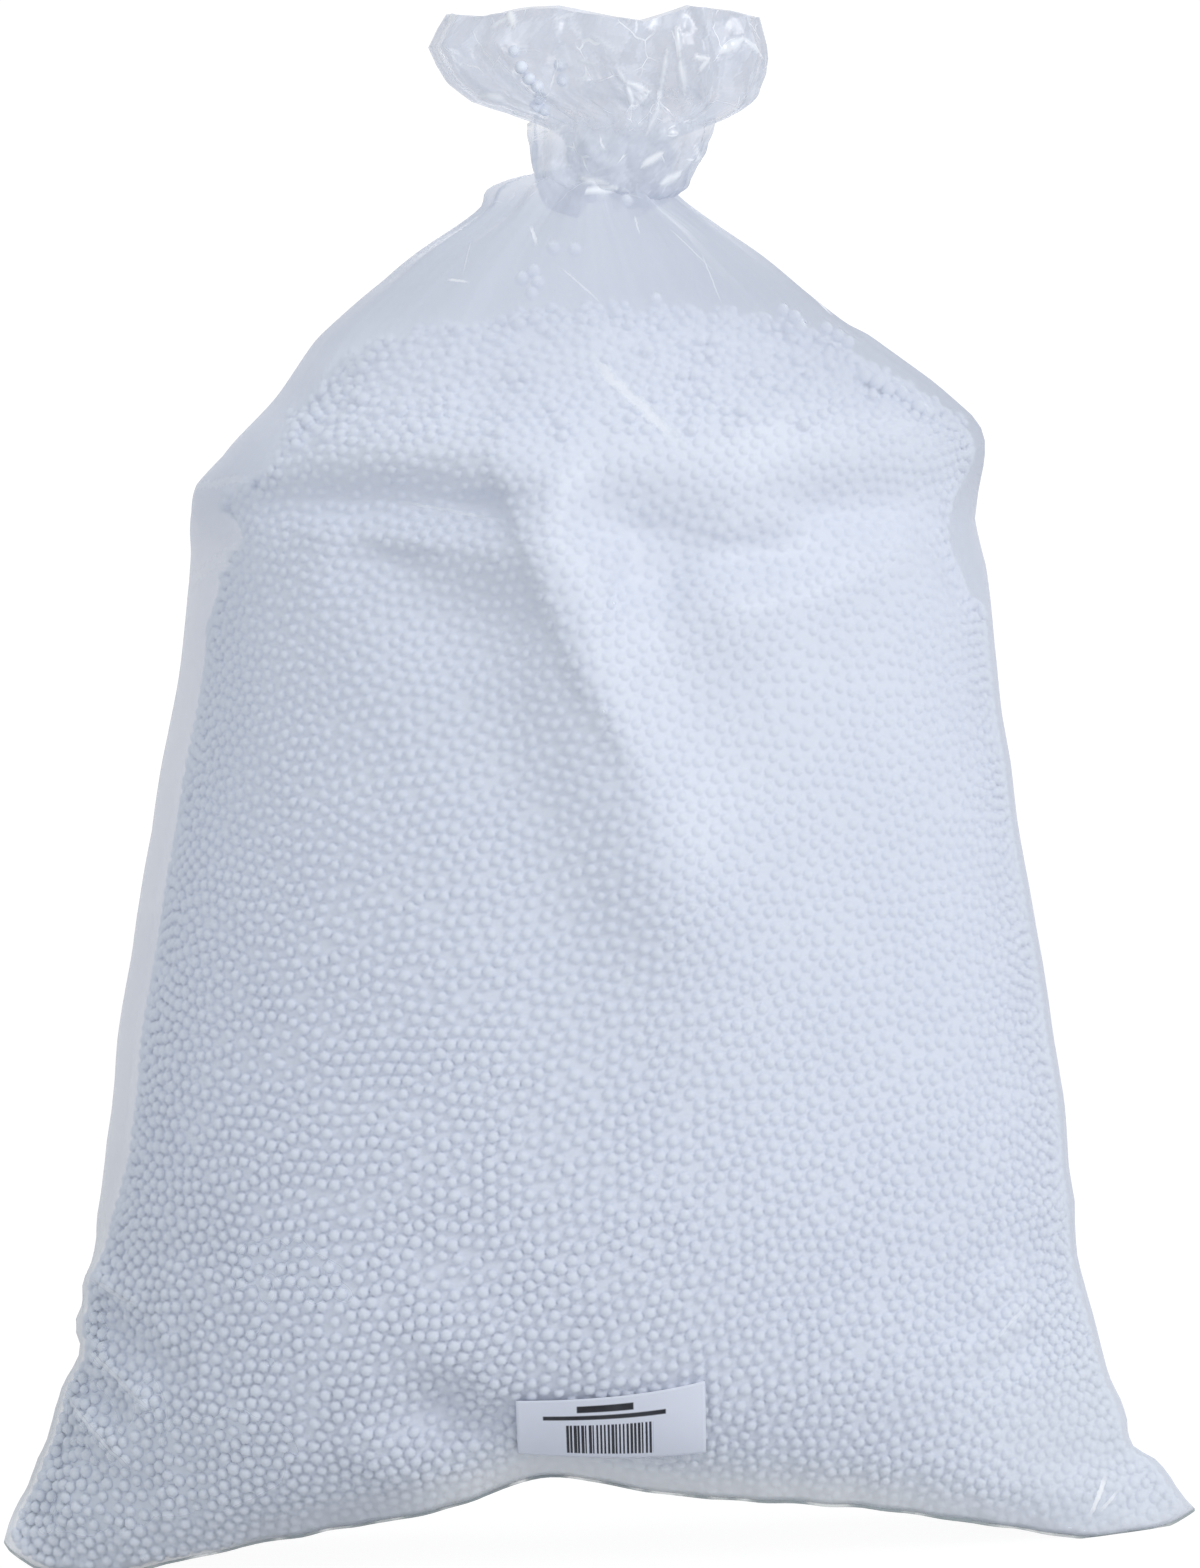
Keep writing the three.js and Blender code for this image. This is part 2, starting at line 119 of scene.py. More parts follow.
class Graph:
    def __init__(self, name):
        self.material = bpy.data.materials.new(name)
        self.material.use_nodes = True
        self.tree = self.material.node_tree
        self.tree.nodes.clear()

    def node(self, kind, settings=None, sockets=None):
        made = self.tree.nodes.new(kind)
        for key, value in (settings or {}).items():
            setattr(made, key, value)
        for key, value in (sockets or {}).items():
            if isinstance(value, Wire):
                self.tree.links.new(value.socket, made.inputs[key])
            elif isinstance(value, tuple) and len(value) == 3 and made.inputs[key].type == "RGBA":
                made.inputs[key].default_value = (*value, 1)
            else:
                made.inputs[key].default_value = value
        return Step(self, made)

    def place(self, which="Object"):
        return self.node("ShaderNodeTexCoord").out(which)

    def painted(self, name):
        return self.node("ShaderNodeAttribute", {"attribute_name": name}).out("Fac")

    def noise(self, scale, detail=2.0, rough=0.5):
        sockets = {"Vector": self.place(), "Scale": scale, "Detail": detail, "Roughness": rough}
        return self.node("ShaderNodeTexNoise", None, sockets).out()

    def bump(self, height, strength, distance):
        sockets = {"Height": height, "Strength": strength, "Distance": distance}
        return self.node("ShaderNodeBump", None, sockets).out()

    def finish(self, shader):
        self.node("ShaderNodeOutputMaterial", None, {"Surface": shader})
        return self.material

    def surface(self, sockets):
        return self.finish(self.node("ShaderNodeBsdfPrincipled", None, sockets).out())


# Meshes

def addPiece(name, points, faces, material, slot, smooth=True):
    mesh = bpy.data.meshes.new(name)
    mesh.from_pydata(np.asarray(points, dtype=float).tolist(), [], [list(face) for face in faces])
    mesh.update()
    if smooth:
        mesh.shade_smooth()
    piece = bpy.data.objects.new(name, mesh)
    scene.collection.objects.link(piece)
    mesh.materials.append(material)
    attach(piece, "root")
    return piece


def unit(vectors):
    return vectors / np.maximum(np.linalg.norm(vectors, axis=-1, keepdims=True), 1e-12)


def noiseAt(points, scale, seed):
    shift = Vector((seed * 17.3, seed * 5.1, seed * 9.7))
    return np.array([noise.noise(Vector(point) * scale + shift) for point in points])


# The film's own grid, read back from the CAD shell: rows from the bottom edge to the mouth, columns round
# the bag from the right corner, the back first.
gridSettings = {"sameSpot": 0.002 * mm, "rimWidth": 0.3 * mm, "floorLevel": 0.01 * mm}


def readGrid(node):
    s = gridSettings
    shell = bmesh.new()
    shell.from_mesh(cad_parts[node].data)
    bmesh.ops.remove_doubles(shell, verts=shell.verts, dist=s["sameSpot"])
    rim = [face for face in shell.faces if min(edge.calc_length() for edge in face.edges) < s["rimWidth"]]
    bmesh.ops.delete(shell, geom=rim, context="FACES_ONLY")
    start = min(shell.verts, key=lambda vert: vert.co.z)
    outer = {start}
    front = [start]
    while front:
        vert = front.pop()
        for edge in vert.link_edges:
            other = edge.other_vert(vert)
            if edge.link_faces and other not in outer:
                outer.add(other)
                front.append(other)
    border = [edge for edge in shell.edges if len(edge.link_faces) == 1 and edge.verts[0] in outer]
    ring = [border[0].verts[0]]
    before = None
    while len(ring) < len(border):
        ahead = [edge.other_vert(ring[-1]) for edge in ring[-1].link_edges if edge in border]
        following = [vert for vert in ahead if vert is not before][0]
        before = ring[-1]
        ring.append(following)
    x = np.array([vert.co.x for vert in ring])
    y = np.array([vert.co.y for vert in ring])
    if np.sum(x * np.roll(y, -1) - y * np.roll(x, -1)) < 0:
        ring.reverse()
    rows = [ring]
    used = set(ring)
    while min(vert.co.z for vert in ring) > s["floorLevel"]:
        below = []
        for i, vert in enumerate(ring):
            other = ring[(i + 1) % len(ring)]
            edge = shell.edges.get((vert, other))
            corners = [corner for face in edge.link_faces for corner in face.verts]
            below += [corner for corner in corners if corner not in (vert, other) and corner not in used]
        ring = below
        rows.append(ring)
        used.update(ring)
    grid = np.array([[vert.co[:] for vert in row] for row in reversed(rows)])
    shell.free()
    return np.roll(grid, -int(np.argmax(grid[0, :, 0])), axis=1)


def through(values, places, axis, closed):
    # Catmull-Rom through a grid's rows or columns.
    count = values.shape[axis]
    low = np.floor(places).astype(int)
    if not closed:
        low = np.clip(low, 0, count - 2)
    part = places - low
    picks = []
    for step in (-1, 0, 1, 2):
        index = (low + step) % count if closed else np.clip(low + step, 0, count - 1)
        picks.append(np.take(values, index, axis=axis))
    shape = [1] * values.ndim
    shape[axis] = len(places)
    t = part.reshape(shape)
    a, b, c, d = picks
    return 0.5 * (2 * b + (c - a) * t + (2 * a - 5 * b + 4 * c - d) * t**2 + (3 * b - 3 * c + d - a) * t**3)


print("reading the film")
grid = readGrid("film_bag")
gridRows, gridColumns = grid.shape[:2]
print("film grid", grid.shape)


def smoothStep(low, high, value):
    t = np.clip((value - low) / (high - low), 0, 1)
    return t * t * (3 - 2 * t)


def ridged(values):
    return 1 - 2 * np.abs(values)


def folds(points, size, count, seed):
    # Flat facets between straight creases, as crumpled film has.
    draw = np.random.default_rng(seed)
    bent = points + 0.22 * size * np.sin(points[:, [1, 2, 0]] * 2.7 / size + draw.random(3) * 6)
    total = np.zeros(len(points))
    for k in range(count):
        way = unit(draw.normal(size=3))
        wave = size * (0.6 + 0.9 * draw.random())
        run = bent @ way / wave + draw.random()
        total += (np.abs(run % 1 - 0.5) * 4 - 1) * wave / size
    return total / math.sqrt(count)


def crumple(across, up, around, spacing, seed):
    # Flat facets that meet in sharp creases: a height from -1 to 1 at each scattered corner, flat between
    # them, and a painted shade from -1 to 1 for each facet, lighter or darker as if each were lit
    # differently.
    draw = np.random.default_rng(seed)
    rows = int(np.ptp(up) / spacing) + 4
    columns = max(4, round(around / spacing))
    spread = draw.uniform(-0.4, 0.4, (rows, columns, 2)) * spacing
    height = draw.uniform(-1, 1, (rows, columns))
    corners = []
    for turn in (-1, 0, 1):
        for i in range(rows):
            for j in range(columns):
                x = (turn + (j + 0.5 * (i % 2)) / columns) * around + spread[i, j, 0]
                y = up.min() + (i - 1.5) * spacing + spread[i, j, 1]
                corners.append((x, y, height[i, j]))
    flat = [Vector(corner[:2]) for corner in corners]
    places, _, faces, sources, _, _ = geometry.delaunay_2d_cdt(flat, [], [], 0, 1e-9)
    sheet = [(place.x, place.y, corners[source[0]][2]) for place, source in zip(places, sources)]
    tree = BVHTree.FromPolygons(sheet, faces)
    down = Vector((0, 0, -1))
    hits = [tree.ray_cast(Vector((x, y, 2)), down) for x, y in zip(across, up)]
    facetShades = draw.uniform(-1, 1, len(faces))
    return np.array([hit[0].z for hit in hits]), np.array([facetShades[hit[2]] for hit in hits])


def crumpled(layers, across, up, around):
    # Several sizes of facets on top of each other.
    heights = np.zeros(len(up))
    facetShades = np.zeros(len(up))
    for layer in layers:
        height, facetShade = crumple(across, up * layer["squash"], around, layer["spacing"], layer["seed"])
        heights += layer["height"] * height
        facetShades += layer["facetShade"] * facetShade
    return heights, facetShades


def turnsAt(places):
    return places * 2 * np.pi / gridColumns


def onSide(turns, side, power):
    # One at the left fold (side -1) or the right fold (side 1), falling off round the bag.
    return np.maximum(side * np.cos(turns), 0) ** power


def gridNormals(points):
    across = np.roll(points, -1, axis=1) - np.roll(points, 1, axis=1)
    up = np.gradient(points, axis=0)
    return unit(np.cross(across, up))


# Film: the CAD shell drawn finer, with the creases that are too small for it
filmSettings = {
    "columns": 408,
    "bodyStep": 4.6 * mm,
    "coneStep": 3.4 * mm,
    "crownStep": 1.3 * mm,
    "shoulderRow": 14,
    "fillRow": 18,
    "neckRow": 25,
    "crownRow": 27,
    "baseSteps": 6,
    "coneSoftening": 0.72,
    "neckSoftening": 0.88,
    "crownSoftening": 0.8,
    "crownHeights": (612, 617, 625, 632, 638, 647, 656, 664, 672, 681),
    "crownLeft": (-7, -8, -12, -19, -33, -43, -48, -51, -47, -41),
    "crownRight": (69, 79, 90, 92.5, 94, 97, 98, 97.5, 96, 94),
    "rimAcross": (-52, -42, -26, -6, 7, 32, 43, 64, 84, 93),
    "rimHeights": (668, 675, 674, 677, 677, 671, 669, 675, 672, 669),
    "rimTilt": 0.13,
    "neckCorner": 10 * mm,
    "neckCornerHeights": (590, 600, 604, 607),
}

# Small steps of the outline: pairs of the height and how far it stands out, in millimetres
outlineSteps = {
    "left": (
        (0, 2), (27, 2), (40, 4), (55, 2), (92, 2), (105, 4.5), (118, 1), (131, 3.5), (145, 0),
        (462, 0), (474, 2), (486, 0), (511, 2), (536, 5), (561, 2), (575, 4), (592, 3.5), (603, 0),
    ),
    "right": (
        (20, 0), (33, -4.5), (45, 0), (120, 0), (143, 2), (160, 0), (330, 0), (360, -1.5), (425, 0),
        (446, -3), (462, 0), (475, 1), (489, 3.5), (500, 1), (515, 0),
    ),
}

# Sharp creases in the crown, raised and painted with white highlights: from x, z to x, z in millimetres,
# width, strength
crownCreases = (
    (-42, 671, -37, 675, 1.0, 0.8), (-30, 671, -16, 674, 0.8, 0.5), (-24, 665, -13, 671, 0.9, 0.7),
    (-15, 674, -13, 665, 1.4, 1.0), (4, 673, 16, 674, 0.8, 0.5), (5, 668, 17, 671, 0.7, 0.4),
    (26, 671, 38, 674, 1.2, 0.9), (38, 674, 37, 664, 0.8, 0.6), (57, 663, 58, 648, 0.9, 0.8),
    (58, 648, 60, 634, 1.3, 0.9), (53, 654, 48, 629, 0.9, 0.8), (48, 629, 43, 618, 0.8, 0.5),
    (64, 649, 71, 649, 0.9, 0.8), (71, 649, 66, 643, 0.9, 0.7), (76, 652, 86, 658, 1.8, 0.7),
    (80, 671, 92, 669, 0.9, 0.8), (86, 659, 95, 651, 0.9, 0.6), (35, 639, 45, 636, 1.0, 0.8),
    (35, 639, 37, 629, 1.0, 0.8), (37, 629, 44, 635, 0.8, 0.7), (31, 645, 34, 639, 0.8, 0.6),
    (14, 649, 22, 647, 1.2, 0.6), (-29, 638, -17, 636, 1.6, 0.8), (-17, 636, -4, 629, 1.3, 0.7),
    (-15, 632, -7, 625, 0.9, 0.7), (1, 621, 10, 623, 0.9, 0.5), (40, 604, 50, 610, 1.2, 0.9),
    (52, 619, 57, 617, 0.9, 0.8), (48, 596, 57, 601, 1.3, 0.8), (13, 600, 25, 597, 1.2, 0.6),
    (16, 594, 29, 595, 1.4, 0.8), (64, 613, 66, 606, 0.8, 0.6), (20, 660, 31, 652, 0.7, 0.4),
)

# Folds pressed into the front, in millimetres: the line in x and z, its width and its depth, outward positive
frontFolds = (
    {"line": ((-165, 462), (-122, 474), (-71, 466), (-23, 454)), "width": 10, "depth": 1.0},
    {"line": ((-150, 486), (-100, 492), (-40, 480)), "width": 16, "depth": 1.5},
    {"line": ((-120, 452), (-75, 446), (-30, 438)), "width": 7, "depth": 2.0},
    {"line": ((-98, 450), (-51, 429)), "width": 9, "depth": -2.0},
    {"line": ((-34, 492), (-20, 458), (-11, 428), (2, 394), (13, 370), (24, 350), (38, 306)), "width": 4,
     "otherWidth": 26, "depth": 4.0},
    {"line": ((14, 462), (40, 390), (62, 320)), "width": 28, "depth": -1.8},
    {"line": ((12, 458), (45, 449), (84, 438)), "width": 15, "depth": 5.0},
    {"line": ((60, 447), (112, 432)), "width": 14, "depth": 2.5},
    {"line": ((20, 428), (56, 418)), "width": 15, "depth": -4.5},
    {"line": ((74, 461), (126, 448), (180, 457)), "width": 8, "depth": -1.5},
    {"line": ((66, 413), (121, 420), (180, 453)), "width": 9, "depth": 1.5},
    {"line": ((-70, 82), (-45, 44)), "width": 11, "depth": -4.0},
    {"line": ((-105, 72), (-80, 40)), "width": 13, "depth": 2.5},
    {"line": ((-224, 131), (-190, 116)), "width": 5, "depth": 3.0},
    {"line": ((-222, 114), (-180, 92)), "width": 6, "depth": -3.5},
    {"line": ((-224, 100), (-184, 70)), "width": 6, "depth": 3.5},
    {"line": ((-230, 88), (-200, 62)), "width": 5, "depth": -3.0},
    {"line": ((-236, 79), (-196, 44)), "width": 6, "depth": 3.5},
    {"line": ((150, 448), (168, 425), (176, 400)), "width": 7, "depth": -3.5},
    {"line": ((168, 462), (182, 440)), "width": 6, "depth": 2.5},
    {"line": ((190, 108), (172, 92), (140, 84)), "width": 7, "depth": 3.0},
    {"line": ((196, 96), (178, 78)), "width": 6, "depth": -3.0},
    {"line": ((188, 122), (158, 106)), "width": 5, "depth": 2.5},
)


def lineReach(x, z, line):
    # How far each point is from a line, on which side of it, and how far along it.
    reach = np.full(len(x), 1e9)
    side = np.zeros(len(x))
    along = np.zeros(len(x))
    lengths = [math.dist(start, end) for start, end in zip(line, line[1:])]
    for i, ((startX, startZ), (endX, endZ)) in enumerate(zip(line, line[1:])):
        dx, dz = endX - startX, endZ - startZ
        share = np.clip(((x - startX) * dx + (z - startZ) * dz) / (dx * dx + dz * dz), 0, 1)
        offX, offZ = x - startX - share * dx, z - startZ - share * dz
        away = np.hypot(offX, offZ)
        closer = away < reach
        reach[closer] = away[closer]
        side[closer] = np.sign(dx * offZ - dz * offX)[closer]
        along[closer] = ((sum(lengths[:i]) + share * lengths[i]) / sum(lengths))[closer]
    return reach, side, along


def pressFolds(flat):
    x, z = flat[:, 0] / mm, flat[:, 2] / mm
    push = np.zeros(len(flat))
    for fold in frontFolds:
        reach, side, along = lineReach(x, z, fold["line"])
        width = np.where(side > 0, fold.get("otherWidth", fold["width"]), fold["width"])
        fade = smoothStep(0, 0.2, along) * (1 - smoothStep(0.65, 1, along))
        push += fold["depth"] * fade / (1 + (reach / width) ** 2) ** 1.5
    return push * smoothStep(0, 25 * mm, -flat[:, 1])


def rowStep(row):
    s = filmSettings
    if row < s["shoulderRow"]:
        return s["bodyStep"]
    return s["coneStep"] if row < s["neckRow"] else s["crownStep"]


def filmPoints():
    s = filmSettings
    gaps = np.linalg.norm(np.diff(grid, axis=0), axis=2).mean(axis=1)
    rowPlaces = [0.0]
    for i, gap in enumerate(gaps):
        count = max(2, round(gap / rowStep(i)))
        rowPlaces += [i + (k + 1) / count for k in range(count)]
    rowPlaces = np.array(rowPlaces)
    columnPlaces = np.arange(s["columns"]) * gridColumns / s["columns"]
    points = through(through(grid, columnPlaces, 1, True), rowPlaces, 0, False)
    return points, rowPlaces, columnPlaces


def softenPleats(points, rowPlaces, columnPlaces):
    s = filmSettings
    width = s["columns"] // 12
    even = sum(np.roll(points, shift, axis=1) for shift in range(-width // 2, width // 2)) / width
    crown = smoothStep(s["crownRow"], s["crownRow"] + 2, rowPlaces)[:, None]
    pastCone = smoothStep(s["neckRow"] - 1, s["neckRow"], rowPlaces)[:, None]
    cone = smoothStep(s["fillRow"], s["fillRow"] + 1, rowPlaces)[:, None] * (1 - pastCone)
    neck = pastCone * (1 - crown)
    amount = s["crownSoftening"] * crown + s["neckSoftening"] * neck + s["coneSoftening"] * cone
    soft = points + (even - points) * amount[:, :, None]
    # The crown's outline from the front: each ring is stretched between its left and right edge.
    heights = soft[:, :, 2].mean(axis=1) / mm
    left = np.interp(heights, s["crownHeights"], s["crownLeft"]) * mm
    right = np.interp(heights, s["crownHeights"], s["crownRight"]) * mm
    low, high = soft[:, :, 0].min(axis=1), soft[:, :, 0].max(axis=1)
    share = (soft[:, :, 0] - low[:, None]) / (high - low)[:, None]
    soft[:, :, 0] += (left[:, None] + share * (right - left)[:, None] - soft[:, :, 0]) * crown
    turns = turnsAt(columnPlaces)
    z = soft[:, :, 2] / mm
    left = np.interp(z, *zip(*outlineSteps["left"])) * onSide(turns, -1, 4)
    right = np.interp(z, *zip(*outlineSteps["right"])) * onSide(turns, 1, 4)
    soft[:, :, 0] += (right - left) * mm
    # A corner of film stands out on the left, just under the neck.
    start, full, fading, end = s["neckCornerHeights"]
    corner = smoothStep(start, full, z) * (1 - smoothStep(fading, end, z)) * onSide(turns, -1, 3)
    soft[:, :, 0] -= s["neckCorner"] * corner
    # The mouth is pressed shut, so its front and back edges end at the same height.
    rim = smoothStep(s["crownRow"] + 1, gridRows - 1, rowPlaces)[:, None]
    level = np.interp(soft[-1, :, 0] / mm, s["rimAcross"], s["rimHeights"]) * mm
    soft[:, :, 2] += (level - soft[-1, :, 2] + s["rimTilt"] * soft[:, :, 1]) * rim
    return soft


def crownLines(flat):
    # How near each point is to the crown's sharp creases: how far they are raised and how strong their
    # painted highlight is.
    x, z = flat[:, 0] / mm, flat[:, 2] / mm
    white = np.zeros(len(flat))
    for startX, startZ, endX, endZ, width, strength in crownCreases:
        reach, _, along = lineReach(x, z, ((startX, startZ), (endX, endZ)))
        taper = 0.35 + 0.65 * np.sin(np.pi * along)
        white = np.maximum(white, strength * np.clip(1.5 - reach / (1.25 * width * taper), 0, 1))
    return white * (flat[:, 1] < 0)


# How high each kind of crease stands, in millimetres, and where it lies
creaseSettings = {
    "spokes": 0.55,
    "fineSpokes": 0.25,
    "coneSway": 1.2,
    "coneFolds": 0.6,
    "crownLines": 1.2,
    "slackSway": 1.5,
    "slackFolds": 0.5,
    "sidePuckers": 0.9,
    "leftPuckers": 3.2,
    "leftPuckerHeight": 105 * mm,
    "leftPuckerReach": 35 * mm,
    "lowLeftFolds": 1.1,
    "weldWave": 1.3,
    "earFolds": 1.2,
    "sideCalm": 0.85,
    "mouthGirth": 420,
    "labelCalm": (60 * mm, 50 * mm, 40 * mm),
    "floorCalm": 6 * mm,
}

# Sizes of the crown's facets: height in millimetres, painted facet shade, spacing in millimetres
crownFacets = (
    {"height": 3.4, "facetShade": 0.6, "spacing": 21, "squash": 0.6, "seed": 32},
    {"height": 1.7, "facetShade": 0.6, "spacing": 10, "squash": 0.8, "seed": 33},
    {"height": 0.5, "facetShade": 0.4, "spacing": 5, "squash": 1.0, "seed": 30},
)


def creaseFilm(points, rowPlaces, columnPlaces):
    s = filmSettings
    c = creaseSettings
    normals = gridNormals(points)
    rows = np.repeat(rowPlaces[:, None], len(columnPlaces), axis=1).ravel()
    turn = np.repeat(turnsAt(columnPlaces)[None, :], len(rowPlaces), axis=0).ravel()
    flat = points.reshape(-1, 3)
    below = 1 - smoothStep(s["neckRow"] - 2, s["neckRow"], rows)
    onCone = smoothStep(s["fillRow"] - 1.5, s["fillRow"] + 1, rows) * below
    onCrown = smoothStep(s["crownRow"], s["crownRow"] + 1.5, rows)
    onFill = 1 - smoothStep(s["fillRow"] - 3, s["fillRow"], rows)
    nearSide = np.abs(np.cos(turn)) ** 14
    nearLeft = onSide(turn, -1, 10)
    nearWeld = 1 - smoothStep(0, 4, rows)
    # Straight creases that run into the neck.
    spokes = np.stack([np.cos(turn) * 5.5, np.sin(turn) * 5.5, rows * 0.12], axis=1)
    fineSpokes = np.stack([np.cos(turn) * 13, np.sin(turn) * 13, rows * 0.2], axis=1)
    calm = 1 - c["sideCalm"] * np.abs(np.cos(turn)) ** 8
    wrinkled = onCone * calm
    spoked = c["spokes"] * ridged(noiseAt(spokes, 1, 3)) + c["fineSpokes"] * ridged(noiseAt(fineSpokes, 1, 4))
    push = wrinkled * spoked
    push += wrinkled * (c["coneSway"] * noiseAt(flat, 22, 5) + c["coneFolds"] * folds(flat, 60 * mm, 4, 31))
    # Crumpled mouth.
    loose = rows > s["crownRow"] - 0.5
    across, up = turn[loose] / (2 * np.pi) * c["mouthGirth"], flat[loose, 2] / mm
    facets, crownFacetShades = crumpled(crownFacets, across, up, c["mouthGirth"])
    push[loose] += onCrown[loose] * (facets * calm[loose] + c["crownLines"] * crownLines(flat[loose]))
    # Painted shade for each facet of the crown, lighter or darker as if each were lit differently.
    facetShade = np.zeros(len(flat))
    facetShade[loose] = onCrown[loose] * crownFacetShades
    push += pressFolds(flat) * below
    # Slack film over the fill.
    push += onFill * (c["slackSway"] * noiseAt(flat, 13, 9) + c["slackFolds"] * folds(flat, 80 * mm, 4, 34))
    # Puckers along the side folds, most of all low on the left, and along the weld.
    stretched = flat * np.array([0.3, 0.3, 1.0])
    low = np.exp(-(((flat[:, 2] - c["leftPuckerHeight"]) / c["leftPuckerReach"]) ** 2))
    push += onFill * nearSide * c["sidePuckers"] * folds(stretched, 55 * mm, 3, 35)
    push += nearLeft * low * c["leftPuckers"] * folds(flat * np.array([0.5, 0.5, 1.0]), 22 * mm, 3, 36)
    lowLeft = smoothStep(-0.12, -0.19, flat[:, 0]) * (1 - smoothStep(0.1, 0.2, flat[:, 2]))
    push += lowLeft * c["lowLeftFolds"] * folds(flat, 34 * mm, 3, 38)
    along = flat * np.array([1.0, 0.3, 0.3])
    push += nearWeld * c["weldWave"] * noiseAt(along, 60, 14)
    # Flat ears at the two corners.
    onEar = smoothStep(0.2, 0.235, np.abs(flat[:, 0])) * (1 - smoothStep(0.04, 0.08, flat[:, 2]))
    push += onEar * c["earFolds"] * folds(flat, 24 * mm, 3, 37)
    # The label lies flat, so the film is smooth under it.
    low, high = (np.array(corner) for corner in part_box("label"))
    away = np.linalg.norm((flat - (low + high) / 2) / np.array(c["labelCalm"]), axis=1)
    push *= smoothStep(0.8, 1.4, away)
    foot = smoothStep(0, c["floorCalm"], flat[:, 2])
    moved = flat + normals.reshape(-1, 3) * (push * mm * foot)[:, None]
    moved[:, 2] = np.maximum(moved[:, 2], 0)
    return moved.reshape(points.shape), facetShade


def ringFaces(rowCount, columnCount):
    rows, columns = np.meshgrid(np.arange(rowCount - 1), np.arange(columnCount), indexing="ij")
    a = rows * columnCount + columns
    b = rows * columnCount + (columns + 1) % columnCount
    return np.stack([a, b, b + columnCount, a + columnCount], axis=-1).reshape(-1, 4).tolist()


def baseFaces(points):
    # The underside, between the back edge and the front edge.
    columns = points.shape[1]
    half = columns // 2
    steps = filmSettings["baseSteps"]
    start = points.shape[0] * columns
    extra = []
    strips = []
    for column in range(1, half):
        back = points[0, column]
        front = points[0, columns - column]
        strip = [column]
        for k in range(1, steps):
            strip.append(start + len(extra))
            extra.append(back + (front - back) * k / steps)
        strips.append(strip + [columns - column])
    faces = []
    for strip, other in zip(strips, strips[1:]):
        faces += [[strip[i], strip[i + 1], other[i + 1], other[i]] for i in range(steps)]
    faces += [[0, strips[0][i + 1], strips[0][i]] for i in range(steps)]
    faces += [[half, strips[-1][i], strips[-1][i + 1]] for i in range(steps)]
    return extra, faces


print("drawing the film")
smoothPoints, rowPlaces, columnPlaces = filmPoints()
smoothPoints = softenPleats(smoothPoints, rowPlaces, columnPlaces)
filmGridPoints, filmFacetShade = creaseFilm(smoothPoints, rowPlaces, columnPlaces)
extraPoints, underside = baseFaces(filmGridPoints)
filmVerts = np.concatenate([filmGridPoints.reshape(-1, 3), np.array(extraPoints)])
filmPolygons = ringFaces(*filmGridPoints.shape[:2]) + underside
filmTree = BVHTree.FromPolygons(filmVerts.tolist(), filmPolygons)
print("film faces", len(filmPolygons))


# Heap: how high the beads stand at each place inside the film
heapSettings = {
    "across": (-200, -150, -124, -115, -106, -73, 0, 64, 134, 168, 188, 215),
    "heights": (452, 464, 478, 507, 519, 533, 541, 540, 531, 509, 486, 455),
    "gapStart": 0.468,
    "gapEnd": 0.545,
    "gap": 17 * mm,
    "middle": 0.02,
    "marginHeights": (0, 130, 180, 400, 412, 433, 450, 462, 474, 600),
    "leftMargins": (2, 2, 10, 10, 9, 16, 32, 20, 12, 12),
    "rightMargins": (2, 2, 2, 2, 8, 13, 12, 7, 3, 2),
    # ripples of the heap: height in millimetres, waves along x and along y, start
    "ripples": ((1.6, 190, 60, 0), (1.4, -110, 230, 1), (1.6, 420, 0, 2), (1.2, 77, -300, 0)),
    "coreTop": 2.0 * mm,
    "coreLow": 1.2 * mm,
    "coreShare": 0.35,
    "coreMargin": 1.5 * mm,
}


def heapHeight(x, y):
    s = heapSettings
    level = np.interp(x / mm, s["across"], s["heights"])
    for height, wavesX, wavesY, start in s["ripples"]:
        level = level + height * np.sin(x * wavesX + y * wavesY + start)
    return level * mm


def fillSurface(core):
    # The film's inside, set back from the slack film above, and cut off at the heap's height.
    s = heapSettings
    last = int(np.searchsorted(rowPlaces, filmSettings["neckRow"]))
    points = filmGridPoints[: last + 1, ::2].copy()
    mirrored = np.roll(points[:, ::-1], 1, axis=1)
    thickness = np.linalg.norm(points - mirrored, axis=2, keepdims=True)
    depth = 0
    if core:
        # The gaps between beads are deepest low down, and on the left.
        lowDown = smoothStep(0.48, 0.05, points[:, :, 2])
        onLeft = smoothStep(0.15, -0.2, points[:, :, 0])
        deep = np.minimum(0.75 * lowDown + 0.35 * onLeft, 1)
        depth = (s["coreTop"] + s["coreLow"] * deep)[:, :, None]
    points -= gridNormals(points) * np.minimum(depth, s["coreShare"] * thickness)
    turns = turnsAt(columnPlaces[::2])
    extra = s["coreMargin"] if core else 0
    for name, side in (("leftMargins", -1), ("rightMargins", 1)):
        margin = np.interp(points[:, :, 2] / mm, s["marginHeights"], s[name]) * mm + extra
        points[:, :, 0] -= side * margin * onSide(turns, side, 12)
    inward = points[:, :, :2] - np.array([s["middle"], 0])
    gap = s["gap"] * smoothStep(s["gapStart"], s["gapEnd"], points[:, :, 2])
    gap *= 1 - 0.75 * onSide(turns, -1, 4)
    share = np.clip(1 - gap / np.maximum(np.linalg.norm(inward, axis=2), 1e-6), 0, 1)
    points[:, :, :2] = np.array([s["middle"], 0]) + inward * share[:, :, None]
    level = heapHeight(points[:, :, 0], points[:, :, 1]) - np.squeeze(depth)
    points[:, :, 2] = np.minimum(points[:, :, 2], level)
    return points


def fillShape(core=False):
    shape = fillSurface(core)
    extra, underside = baseFaces(shape)
    columns = shape.shape[1]
    verts = np.concatenate([shape.reshape(-1, 3), np.array(extra), shape[-1].mean(axis=0)[None]])
    start = (shape.shape[0] - 1) * columns
    top = [[start + i, start + (i + 1) % columns, len(verts) - 1] for i in range(columns)]
    return verts, ringFaces(*shape.shape[:2]) + underside + top


fillVerts, fillPolygons = fillShape()
fillTree = BVHTree.FromPolygons(fillVerts.tolist(), fillPolygons)
